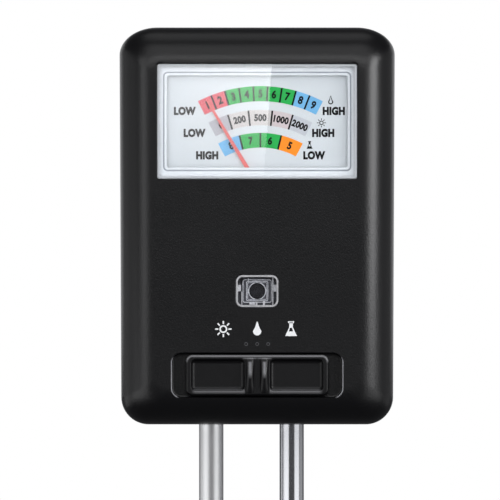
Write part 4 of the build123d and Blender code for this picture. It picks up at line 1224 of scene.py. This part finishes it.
OF_SLOT = {
    "black_abs": shell_black, "screw_steel": screw_plate, "clear_plastic": window_clear,
    "pale_plastic": bezel_pale, "dial_white": dial_white, "meter_plastic": inner_black,
    "soft_iron": iron, "magnet": magnet, "brass": brass, "spring_bronze": bronze,
    "lead_insulation": lead_red, "dark_cell": cell_dark, "board_green": board_green,
    "pad_gold": gold, "resistor_body": resistor_body, "satin_alloy": rod_satin,
    "polished_alloy": rod_polished, "clamp_plastic": clamp_black, "pointer_red": needle_red,
    "staff_steel": steel, "former_alloy": former, "copper_wire": copper, "carriage_nylon": nylon,
}
print(f"{len(finishes)} finishes")

# %% [markdown]
# ## Put each finish where it belongs
#
# A CAD part whose shape is already right keeps its mesh and only gets a finish. A modelled piece
# takes the place of its CAD part and rides on the same body.

# %% Dress the CAD nodes and the modelled pieces
for part in frame["record"]["subparts"]:
    mesh = nodes[part["node"]].data
    mesh.materials.clear()
    mesh.materials.append(OF_SLOT[part["material_slot"]])


def dress(piece, material, body, slot, *stands_for):
    """Gives a finished piece its material and its body, and hides what it stands for. The slot is not used.
    """
    if material:
        piece.data.materials.clear()
        piece.data.materials.append(material)
    polish(piece)
    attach(piece, body)
    if stands_for:
        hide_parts(*stands_for)
    return piece


dress(front_shell, shell_black, "housing", "black_abs", "front_cover")
dress(rear_shell, shell_black, "housing", "black_abs", "rear_cover")
dress(clear_pane, window_clear, "housing", "clear_plastic", "meter_window")
dress(bezel, bezel_pale, "housing", "pale_plastic", "dial_bezel")
dress(pane_edge, edge_frosted, "housing", "clear_plastic")
dress(gap_shade_hoop, gasket_grey, "housing", "pale_plastic")
dress(light_lens, lens_clear, "housing", "clear_plastic", "light_window")
dress(lens_edge, rim_frosted, "housing", "clear_plastic")
dress(cell_holder, smoky_plastic, "housing", "clamp_plastic", "cell_holder")
for number, guide in enumerate(guides, 1):
    guide.name = f"light_guide_{number}"
    dress(guide, guide_frosted, "housing", "clear_plastic")
dress(knob, knob_black, "slide", "black_abs", "switch_knob")
dress(rods[0], rod_satin, "housing", "satin_alloy", "probe_left")
dress(rods[1], rod_polished, "housing", "polished_alloy", "probe_right")

# %% Set the case screws
screw_span = Span("case_screws")
screw_sizes = {
    "Head Radius": 1.9, "Head Height": 1.7, "Shank Radius": 1.05, "Length": WELL_FLOOR - screw_span.front,
    "Cross Width": 0.5, "Cross Length": 2.3, "Cross Depth": 0.9,
}
values = {name: size * MM for name, size in screw_sizes.items()} | {"Material": screw_plate}
case_screws = grow("case_screws_made", screws, values, [(x, WELL_FLOOR, z) for x, z in CASE_POINTS])
dress(case_screws, None, "housing", "screw_steel", "case_screws")
print(f"case screws: {len(case_screws.data.polygons)} faces")

# %% [markdown]
# ## The three scales
#
# The upper scale counts soil moisture from 1 to 9, the middle one light in steps up to 2000, and the
# lower one acidity from 8 down to 5. All bands share one centre a little below the pointer's pivot.
# Each run of cells of one colour is one band; the dividers lie on top of it.

# %% Print the bands
SCALE_X = 0.76
SCALE_Z = 47.95
DIVIDER_WIDTH = 0.42
SCALES = {
    "moisture": ((28.56, 32.14), [
        ("ink_red", -27.4, -15.2), ("ink_green", -15.2, 15.2), ("ink_blue", 15.2, 27.4),
    ]),
    "light": ((22.85, 26.5), [
        ("ink_grey", -27.6, -16.9), ("ink_beige", -16.9, 6.15), ("ink_rose", 6.15, 16.9),
        ("ink_sage", 16.9, 27.6),
    ]),
    "acidity": ((17.6, 21.07), [
        ("ink_blue", -28.4, -13.6), ("ink_green", -13.6, 13.6), ("ink_orange", 13.6, 28.4),
    ]),
}
# The first divider's angle, the step between dividers and their number.
DIVIDER_ROWS = {
    "moisture": [(-21.31, 6.09, 8)],
    "light": [(-16.9, 33.8, 2), (-6.15, 12.3, 2)],
    "acidity": [(-13.6, 13.6, 3)],
}


def arc_values(radii, first, front):
    """The inputs that both trees share."""
    return {
        "Centre X": SCALE_X * MM, "Centre Z": SCALE_Z * MM, "Front": front * MM,
        "Thickness": INK * MM, "Inner Radius": radii[0] * MM, "Outer Radius": radii[1] * MM,
        "First Angle": math.radians(first),
    }


for scale, (radii, cells) in SCALES.items():
    for ink, first, last in cells:
        values = arc_values(radii, first, plate.front)
        values |= {"Last Angle": math.radians(last), "Material": finishes[ink]}
        band = grow(f"{scale}_{ink.removeprefix('ink_')}", bands, values)
        dress(band, None, "housing", "dial_white")
    for row, (first, step, count) in enumerate(DIVIDER_ROWS[scale]):
        values = arc_values(radii, first, plate.front - INK) | {
            "Step": math.radians(step), "Count": count, "Width": DIVIDER_WIDTH * MM,
            "Material": finishes["ink_black"],
        }
        dress(grow(f"{scale}_dividers_{row + 1}", dividers, values), None, "housing", "dial_white")
print("bands and dividers printed")

# %% [markdown]
# ## Figures and signs
#
# Figures are text, turned into thin solids. The words at the ends of the scales are plain LOW and
# HIGH, and small signs tell the scales apart: a drop for moisture, a sun for light and a flask for
# acidity. A sign is drawn as outlines, and an outline inside another cuts a hole in it.

# %% Tools for lettering
CAPITAL_SHARE = 0.7
NARROW = 0.86
LETTER_STEPS = 3


def inked(curve):
    """Turns flat text or outlines into a mesh of a thin solid that faces +Z."""
    curve.extrude = INK * MM / 2
    holder = bpy.data.objects.new(curve.name, curve)
    scene.collection.objects.link(holder)
    seen = holder.evaluated_get(bpy.context.evaluated_depsgraph_get())
    mesh = bpy.data.meshes.new_from_object(seen)
    bpy.data.objects.remove(holder)
    return mesh


def centred(mesh):
    """Moves a mesh so that its box has its middle at the origin."""
    corners = [vertex.co for vertex in mesh.vertices]
    low = Vector([min(corner[axis] for corner in corners) for axis in range(3)])
    high = Vector([max(corner[axis] for corner in corners) for axis in range(3)])
    mesh.transform(Matrix.Translation(-(low + high) / 2))
    return mesh


def lettering(text, height, bold, spacing):
    """A word or a figure of the given height, as a mesh about its own middle."""
    curve = bpy.data.curves.new(f"text_{text}", "FONT")
    curve.body = text
    curve.size = height * MM / CAPITAL_SHARE
    curve.offset = bold * MM
    curve.space_character = spacing
    curve.resolution_u = LETTER_STEPS
    mesh = inked(curve)
    mesh.transform(Matrix.Diagonal((NARROW, 1, 1, 1)))
    return centred(mesh)


print(f"letters are set {NARROW} times as wide as the font has them")

# %% Outlines for the signs
def stencil(name, outlines):
    """A sign from closed outlines in millimetres."""
    curve = bpy.data.curves.new(name, "CURVE")
    curve.dimensions = "2D"
    curve.fill_mode = "BOTH"
    for outline_points in outlines:
        spline = curve.splines.new("POLY")
        spline.points.add(len(outline_points) - 1)
        for spot, (x, z) in zip(spline.points, outline_points):
            spot.co = (x * MM, z * MM, 0, 1)
        spline.use_cyclic_u = True
    return inked(curve)


def circle(radius, steps=24):
    """A closed outline about the middle."""
    turns = [math.tau * step / steps for step in range(steps)]
    return [(radius * math.cos(turn), radius * math.sin(turn)) for turn in turns]


def bar(x, z, length, width, turn):
    """A short stroke whose middle is at x, z."""
    along = Vector((math.cos(turn), math.sin(turn))) * length / 2
    across = Vector((-math.sin(turn), math.cos(turn))) * width / 2
    corners = (along + across, along - across, -along - across, -along + across)
    return [(x + corner.x, z + corner.y) for corner in corners]


def sun(size):
    """A ring with eight rays."""
    outlines = [circle(0.25 * size), circle(0.15 * size)]
    for ray in range(8):
        turn = math.tau * ray / 8
        reach = 0.41 * size
        outlines.append(bar(reach * math.cos(turn), reach * math.sin(turn), 0.2 * size, 0.09 * size, turn))
    return outlines


def drop(size, grow_by=0.0, steps=28):
    """A drop: a circle below, drawn out to a point above."""
    radius = 0.3 * size + grow_by
    points = []
    for step in range(steps):
        turn = math.tau * step / steps
        pull = max(math.sin(turn), 0.0) ** 6
        width = radius * math.cos(turn) * (1 - 0.35 * max(math.sin(turn), 0.0))
        points.append((width, radius * math.sin(turn) - 0.15 * size + pull * 0.4 * size))
    return points


def flask(size, wall):
    """A laboratory flask: a lip and a neck over a cone that is filled to half its height."""
    neck, foot, shoulder = 0.13 * size, 0.42 * size, 0.14 * size
    top, low, level = 0.5 * size, -0.5 * size, -0.16 * size
    slope = (foot - neck) / (shoulder - low)
    outer = [(-foot, low), (foot, low), (neck, shoulder), (neck, top), (-neck, top), (-neck, shoulder)]
    width = neck + (shoulder - level) * slope - 1.3 * wall
    throat, under = neck - wall / 2, shoulder - wall / 2
    inner = [(-width, level), (width, level), (throat, under), (-throat, under)]
    lip = bar(0, top, 0.42 * size, 0.13 * size, 0)
    return [outer, inner], [lip]


print("signs: sun, drop and flask")

# %% Press marks on a surface
def press(name, marks, front, material, slot="dial_white"):
    """Joins marks into one piece. A mark is a mesh, its x and z, and how far it leans to the right."""
    sheet = bmesh.new()
    for mesh, x, z, lean in marks:
        copy = mesh.copy()
        lay = Matrix.Rotation(math.radians(lean), 4, "Y") @ Matrix.Rotation(math.radians(90), 4, "X")
        copy.transform(Matrix.Translation(Vector((x, front - INK / 2, z)) * MM) @ lay)
        sheet.from_mesh(copy)
        bpy.data.meshes.remove(copy)
    mesh = bpy.data.meshes.new(name)
    sheet.to_mesh(mesh)
    sheet.free()
    piece = bpy.data.objects.new(name, mesh)
    scene.collection.objects.link(piece)
    return dress(shade(piece), material, "housing", slot)


print(f"ink is {INK} mm thick")

# %% Print the figures
FIGURES = {
    "moisture": ("1 2 3 4 5 6 7 8 9", 1.75, [-24.36 + 6.09 * cell for cell in range(9)]),
    "light": ("0 200 500 1000 2000", 1.5, [-22.2, -11.5, 0.0, 11.5, 22.2]),
    "acidity": ("8 7 6 5", 1.65, [-21.0, -6.8, 6.8, 21.0]),
}
BOLD = 0.11
FIGURE_SPACING = 1.06
marks = []
for scale, (figures, height, angles) in FIGURES.items():
    (inner, outer), _ = SCALES[scale]
    middle = (inner + outer) / 2
    for figure, angle in zip(figures.split(), angles):
        turn = math.radians(angle)
        x, z = SCALE_X + middle * math.sin(turn), SCALE_Z + middle * math.cos(turn)
        marks.append((lettering(figure, height, BOLD, FIGURE_SPACING), x, z, angle))
press("scale_figures", marks, plate.front - INK, finishes["ink_black"])
print(f"{len(marks)} figures printed")

# %% Print the words and the scales' signs
# Each word: the edge that faces the scale, its height, and the side of the scale that it stands on.
WORDS = [
    ("LOW", -14.5, 74.2, -1), ("HIGH", 15.5, 74.2, 1), ("LOW", -12.2, 69.0, -1), ("HIGH", 13.0, 69.0, 1),
    ("HIGH", -9.2, 63.7, -1), ("LOW", 10.9, 63.7, 1),
]
WORD_HEIGHT = 1.68
WORD_BOLD = 0.16
WORD_SPACING = 1.08
DROP_SIZE = 2.1
DROP_WALL = 0.27
SUN_SIZE = 2.1
FLASK_SIZE = 1.7
FLASK_WALL = 0.16
marks = []
for word, edge, z, side in WORDS:
    mesh = lettering(word, WORD_HEIGHT, WORD_BOLD, WORD_SPACING)
    half = max(vertex.co.x for vertex in mesh.vertices) / MM
    marks.append((mesh, edge + side * half, z, 0))
marks.append((stencil("drop", [drop(DROP_SIZE), drop(DROP_SIZE, -DROP_WALL)]), 17.4, 76.7, 0))
marks.append((stencil("sun", sun(SUN_SIZE)), 15.2, 71.4, 0))
marks += [(stencil("flask", shapes), 12.4, 66.1, 0) for shapes in flask(FLASK_SIZE, FLASK_WALL)]
press("scale_words", marks, plate.front, finishes["ink_black"])
print(f"{len(WORDS)} words printed")

# %% Print the switch's signs and its three marks
SIGN_X = 8.0
SIGN_Z = 22.6
SIGN_SIZE = 3.3
SIGN_WALL = 0.32
SUN_SHARE = 1.15
MARK_RADII = (0.42, 0.26)
MARK_Z = 19.07
SWITCH_TRAVEL = 2.61
signs = [
    (stencil("sun_sign", sun(SUN_SHARE * SIGN_SIZE)), -SIGN_X, SIGN_Z, 0),
    (stencil("drop_sign", [drop(SIGN_SIZE)]), 0.0, SIGN_Z, 0),
]
signs += [(stencil("flask_sign", shapes), SIGN_X, SIGN_Z, 0) for shapes in flask(SIGN_SIZE, SIGN_WALL)]
press("switch_signs", signs, case.front, finishes["ink_white"], "black_abs")
ring = stencil("stop_mark", [circle(radius) for radius in MARK_RADII])
stops = [(ring, place * SWITCH_TRAVEL, MARK_Z, 0) for place in (-1, 0, 1)]
press("stop_marks", stops, case.front, finishes["ink_faint"], "black_abs")
print(f"{len(signs)} outlines and {len(stops)} marks printed")

# %% [markdown]
# ## Camera and floor
#
# The meter is seen straight on through a long lens, so that its sides stay upright. A pale floor lies
# under the probes' points. It belongs to the stage, not to the object.

# %% Place the camera
FRAME_WIDTH = 118.2
FRAME_X = -1.7
FRAME_Z = 41.3
LENS = 1200.0
SENSOR = 36.0
CLIP_END = 20.0
distance = FRAME_WIDTH * LENS / SENSOR

camera = bpy.data.cameras.new("camera")
camera.lens = LENS
camera.sensor_width = SENSOR
camera.clip_end = CLIP_END
eye = bpy.data.objects.new("camera", camera)
eye.location = Vector((FRAME_X, case.front - distance, FRAME_Z)) * MM
eye.rotation_euler = (math.radians(90), 0, 0)
scene.collection.objects.link(eye)
scene.camera = eye
print(f"camera {distance:.0f} mm in front of the face")

# %% Lay the floor
FLOOR_SIZE = 2400.0
FLOOR_CORNER = 10.0
FLOOR_THICKNESS = 1.0
FLOOR_GAP = 0.5
FLOOR_GRAIN = 60.0
floor = slab("floor", FLOOR_SIZE, FLOOR_SIZE, FLOOR_CORNER, -FLOOR_THICKNESS, 0.0)
floor.data.transform(Matrix.Rotation(math.radians(-90), 4, "X"))
floor.data.transform(Matrix.Translation(Vector((0, 0, cad_box[0].z - FLOOR_GAP * MM))))
sheet = begin("floor_pale")
pale = tint(sheet, (0.8, 0.8, 0.8), (0.84, 0.84, 0.84), grain(sheet, FLOOR_GRAIN, detail=2.0))
floor.data.materials.append(end(sheet, Base_Color=pale, Roughness=0.9))
print(f"floor {FLOOR_SIZE:.0f} mm wide")

# %% [markdown]
# ## Lamps
#
# A black housing shows little of its own colour. What the eye reads are the gleams on its rounded
# edges, and each gleam is the mirror image of a lamp: an upright panel beside each shoulder, and wide
# soft boxes above. The probes are bare metal and mirror what stands around them, so they get panels
# of their own. The dial lies deep in its window, where all these lamps would throw the window's
# shadow on it. It has two lamps in front instead, one on each side of the camera's line of sight.
# Light linking says which pieces a lamp shines on.

# %% Tools for lamps
COOL = (0.985, 0.99, 1.0)
MIDDLE = (0, 0, 60)


def hide_from_camera(piece):
    """Other views look past the lamps, so the lamps stay out of them."""
    piece.visible_camera = False
    return piece


def soft_box(name, place, target, size, strength):
    """A rectangular lamp, in millimetres. Strength is how bright its face looks, where white is 1."""
    lamp = bpy.data.lights.new(name, "AREA")
    lamp.shape = "RECTANGLE"
    lamp.size, lamp.size_y = (side * MM for side in size)
    lamp.energy = strength * math.pi * lamp.size * lamp.size_y
    lamp.color = COOL
    holder = bpy.data.objects.new(name, lamp)
    holder.location = Vector(place) * MM
    holder.rotation_euler = (Vector(target) - Vector(place)).to_track_quat("-Z", "Y").to_euler()
    scene.collection.objects.link(holder)
    return hide_from_camera(holder)


def around(azimuth, elevation, reach):
    """A place reach millimetres from the meter's middle. Azimuth 0 is in front, 90 to the right."""
    turn, rise = math.radians(azimuth), math.radians(elevation)
    across = Vector((math.sin(turn) * math.cos(rise), -math.cos(turn) * math.cos(rise), math.sin(rise)))
    return Vector(MIDDLE) + reach * across


def panel(name, azimuth, spread, heights, reach, strength):
    """An upright soft box. Spread is the angle that it covers, and heights are its two edges."""
    low, high = heights
    turn = math.radians(azimuth)
    middle = (low + high) / 2
    place = (reach * math.sin(turn), -reach * math.cos(turn), middle)
    width = 2 * reach * math.tan(math.radians(spread / 2))
    return soft_box(name, place, (0, 0, middle), (width, high - low), strength)


def shine_on(lamp, pieces, state):
    """Links a lamp with pieces, which it then either lights alone or leaves out."""
    group = bpy.data.collections.new(f"{lamp.name}_{state.lower()}")
    for piece in pieces:
        group.objects.link(piece)
    for entry in group.collection_objects:
        entry.light_linking.link_state = state
    lamp.light_linking.receiver_collection = group


print(f"lamps aim at a point {MIDDLE[2]} mm above the housing's foot")

# %% Light the housing
BESIDE_HOUSING = (12, 200)
BESIDE_RIGHT = (26, 200)
HOUSING_REACH = 300
# Weak on the left shoulder, strong on the right one, long along the top.
gleams = [
    panel("key_left", -38, 16, BESIDE_HOUSING, HOUSING_REACH, 2.4),
    panel("key_right", 46, 22, BESIDE_RIGHT, HOUSING_REACH, 9.2),
    soft_box("box_top", around(0, 16, 1650), MIDDLE, (1200, 300), 3.9),
    soft_box("box_high", around(0, 44, 1500), MIDDLE, (1500, 800), 1.1),
    soft_box("box_over", around(0, 92, 1500), MIDDLE, (1200, 900), 0.7),
]
for side, strength in ((-1, 0.5), (1, 0.3)):
    gleams.append(panel("side", side * 88, 56, BESIDE_HOUSING, HOUSING_REACH, strength))
    gleams.append(panel("rim", side * 142, 36, BESIDE_HOUSING, HOUSING_REACH, 0.75))
print(f"{len(gleams)} lamps for the housing")

# %% Light the probes
BESIDE_PROBES = (-170, 2)
PROBE_REACH = 400
probe_lights = [
    panel(name, azimuth, spread, BESIDE_PROBES, PROBE_REACH, strength)
    for name, azimuth, spread, strength in (
        ("probe_box_left", -52, 50, 1.75), ("probe_box_right", 50, 46, 1.6),
        ("probe_side_left", -100, 44, 0.8), ("probe_side_right", 100, 44, 0.42),
    )
]
# One more for the satin probe alone, which looks paler than the polished one between its gleams.
satin_lamp = panel("probe_front", 0, 60, BESIDE_PROBES, PROBE_REACH, 0.22)
print(f"{len(probe_lights) + 1} lamps for the probes")

# %% Light the dial
DIAL_STRENGTH = 7.2
DIAL_LAMP_SIZE = (460, 460)
NOT_ON_DIAL = ("ink_white", "ink_faint")
dial_names = ["dial_white", "bezel_pale", "gasket_grey", "edge_frosted", "needle_red"]
dial_names += [name for name in INKS if name not in NOT_ON_DIAL]
dial_finishes = [finishes[name] for name in dial_names]
dial_pieces = [
    piece for piece in scene.objects
    if piece.type == "MESH" and any(material in dial_finishes for material in piece.data.materials)
]
for side in (-1, 1):
    dial_lamp = soft_box("dial_lamp", around(side * 9, 4, 1500), MIDDLE, DIAL_LAMP_SIZE, DIAL_STRENGTH)
    shine_on(dial_lamp, dial_pieces, "INCLUDE")
shine_on(satin_lamp, rods[:1], "INCLUDE")
for lamp in gleams:
    shine_on(lamp, dial_pieces + rods + [floor], "EXCLUDE")
for lamp in probe_lights:
    shine_on(lamp, dial_pieces + [floor], "EXCLUDE")
print(f"{len(dial_pieces)} pieces lit by the dial's own lamps")

# %% [markdown]
# ## The sheen on the window
#
# A flat window mirrors whatever stands where the line of sight is thrown back to. Here that is a pale
# card a little behind the camera, and its right edge ends halfway across the dial, so the left half
# lies under a clear, straight-edged sheen. The card is brightest toward its top right, and the sheen
# fades down and to the left.

# %% Hold up the card
CARD_SIZE = (80.0, 120.0)
CARD_PLACE = (-33.0, -4311.0, 105.0)
CARD_LEAN = -4.0
CARD_STRENGTH = 3.2
# The sheen starts this share of the card's size below and left of its middle.
FADE_LOW = 0.3
FADE_LEFT = 0.62
LEAST_SHEEN = 0.4

card_mesh = bpy.data.meshes.new("sheen_card")
half_width, half_height = (side / 2 * MM for side in CARD_SIZE)
corners = [(x * half_width, 0, z * half_height) for x, z in ((-1, -1), (-1, 1), (1, 1), (1, -1))]
card_mesh.from_pydata(corners, [], [(0, 1, 2, 3)])
card = bpy.data.objects.new("sheen_card", card_mesh)
card.location = Vector(CARD_PLACE) * MM
card.rotation_euler = (0, math.radians(-CARD_LEAN), 0)
scene.collection.objects.link(card)
sheet = begin("sheen_card")
parts = sheet.node("ShaderNodeSeparateXYZ", None, {"Vector": sheet.place})
rise = (sheet.signal(parts, 2) / (2 * half_height) + FADE_LOW).unit()
across = (sheet.signal(parts, 0) / (2 * half_width) + FADE_LEFT).unit()
glow = CARD_STRENGTH * (rise + rise).below(1.0) * (LEAST_SHEEN + (1 - LEAST_SHEEN) * across)
lit = sheet.node("ShaderNodeEmission", None, {"Strength": glow})
sheet.node("ShaderNodeOutputMaterial", None, {"Surface": sheet.signal(lit)})
card.data.materials.append(sheet.material)
hide_from_camera(card)
print(f"card {CARD_SIZE[0]:.0f} x {CARD_SIZE[1]:.0f} mm")

# %% [markdown]
# ## The room
#
# The world is what the object mirrors where no lamp stands: dim in front and at the sides, white
# straight behind. The camera itself sees plain white, because it asks the world by a camera ray.

# %% Light the room
# Each stop is a place from the front, at 0, to the back, at 1, and how bright the wall is there.
WALL_STOPS = [
    (0.0, (0.085, 0.085, 0.09, 1)), (0.9, (0.085, 0.085, 0.09, 1)), (0.975, (0.3, 0.31, 0.33, 1)),
    (0.995, (0.9, 0.91, 0.93, 1)),
]
HAZE = (0.05, 0.05, 0.052)
HAZE_RISE = 8.0

world = bpy.data.worlds.new("studio")
world.use_nodes = True
scene.world = world
room = Sheet(world.node_tree)
direction = room.signal(room.node("ShaderNodeTexCoord"), "Generated")
compass = room.node("ShaderNodeSeparateXYZ", None, {"Vector": direction})
back, up = room.signal(compass, 1), room.signal(compass, 2)
wall = room.node("ShaderNodeValToRGB", {"stops": WALL_STOPS}, {"Fac": 0.5 + 0.5 * back})
# The front of the room is lighter above the horizon.
air = tint(room, (0, 0, 0), HAZE, (up * HAZE_RISE).unit() * (0.5 - back).unit())


def light_of(colour):
    """Light of a colour, from all round."""
    return room.signal(room.node("ShaderNodeBackground", None, {"Color": colour, "Strength": 1.0}))


surround = room.node("ShaderNodeAddShader", None, {0: light_of(room.signal(wall)), 1: light_of(air)})
seen = room.signal(room.node("ShaderNodeLightPath"), "Is Camera Ray")
values = {0: seen, 1: room.signal(surround), 2: light_of((1, 1, 1, 1))}
mixed = room.node("ShaderNodeMixShader", None, values)
room.node("ShaderNodeOutputWorld", None, {"Surface": room.signal(mixed)})
scene.view_settings.view_transform = "Standard"
print("room lit")
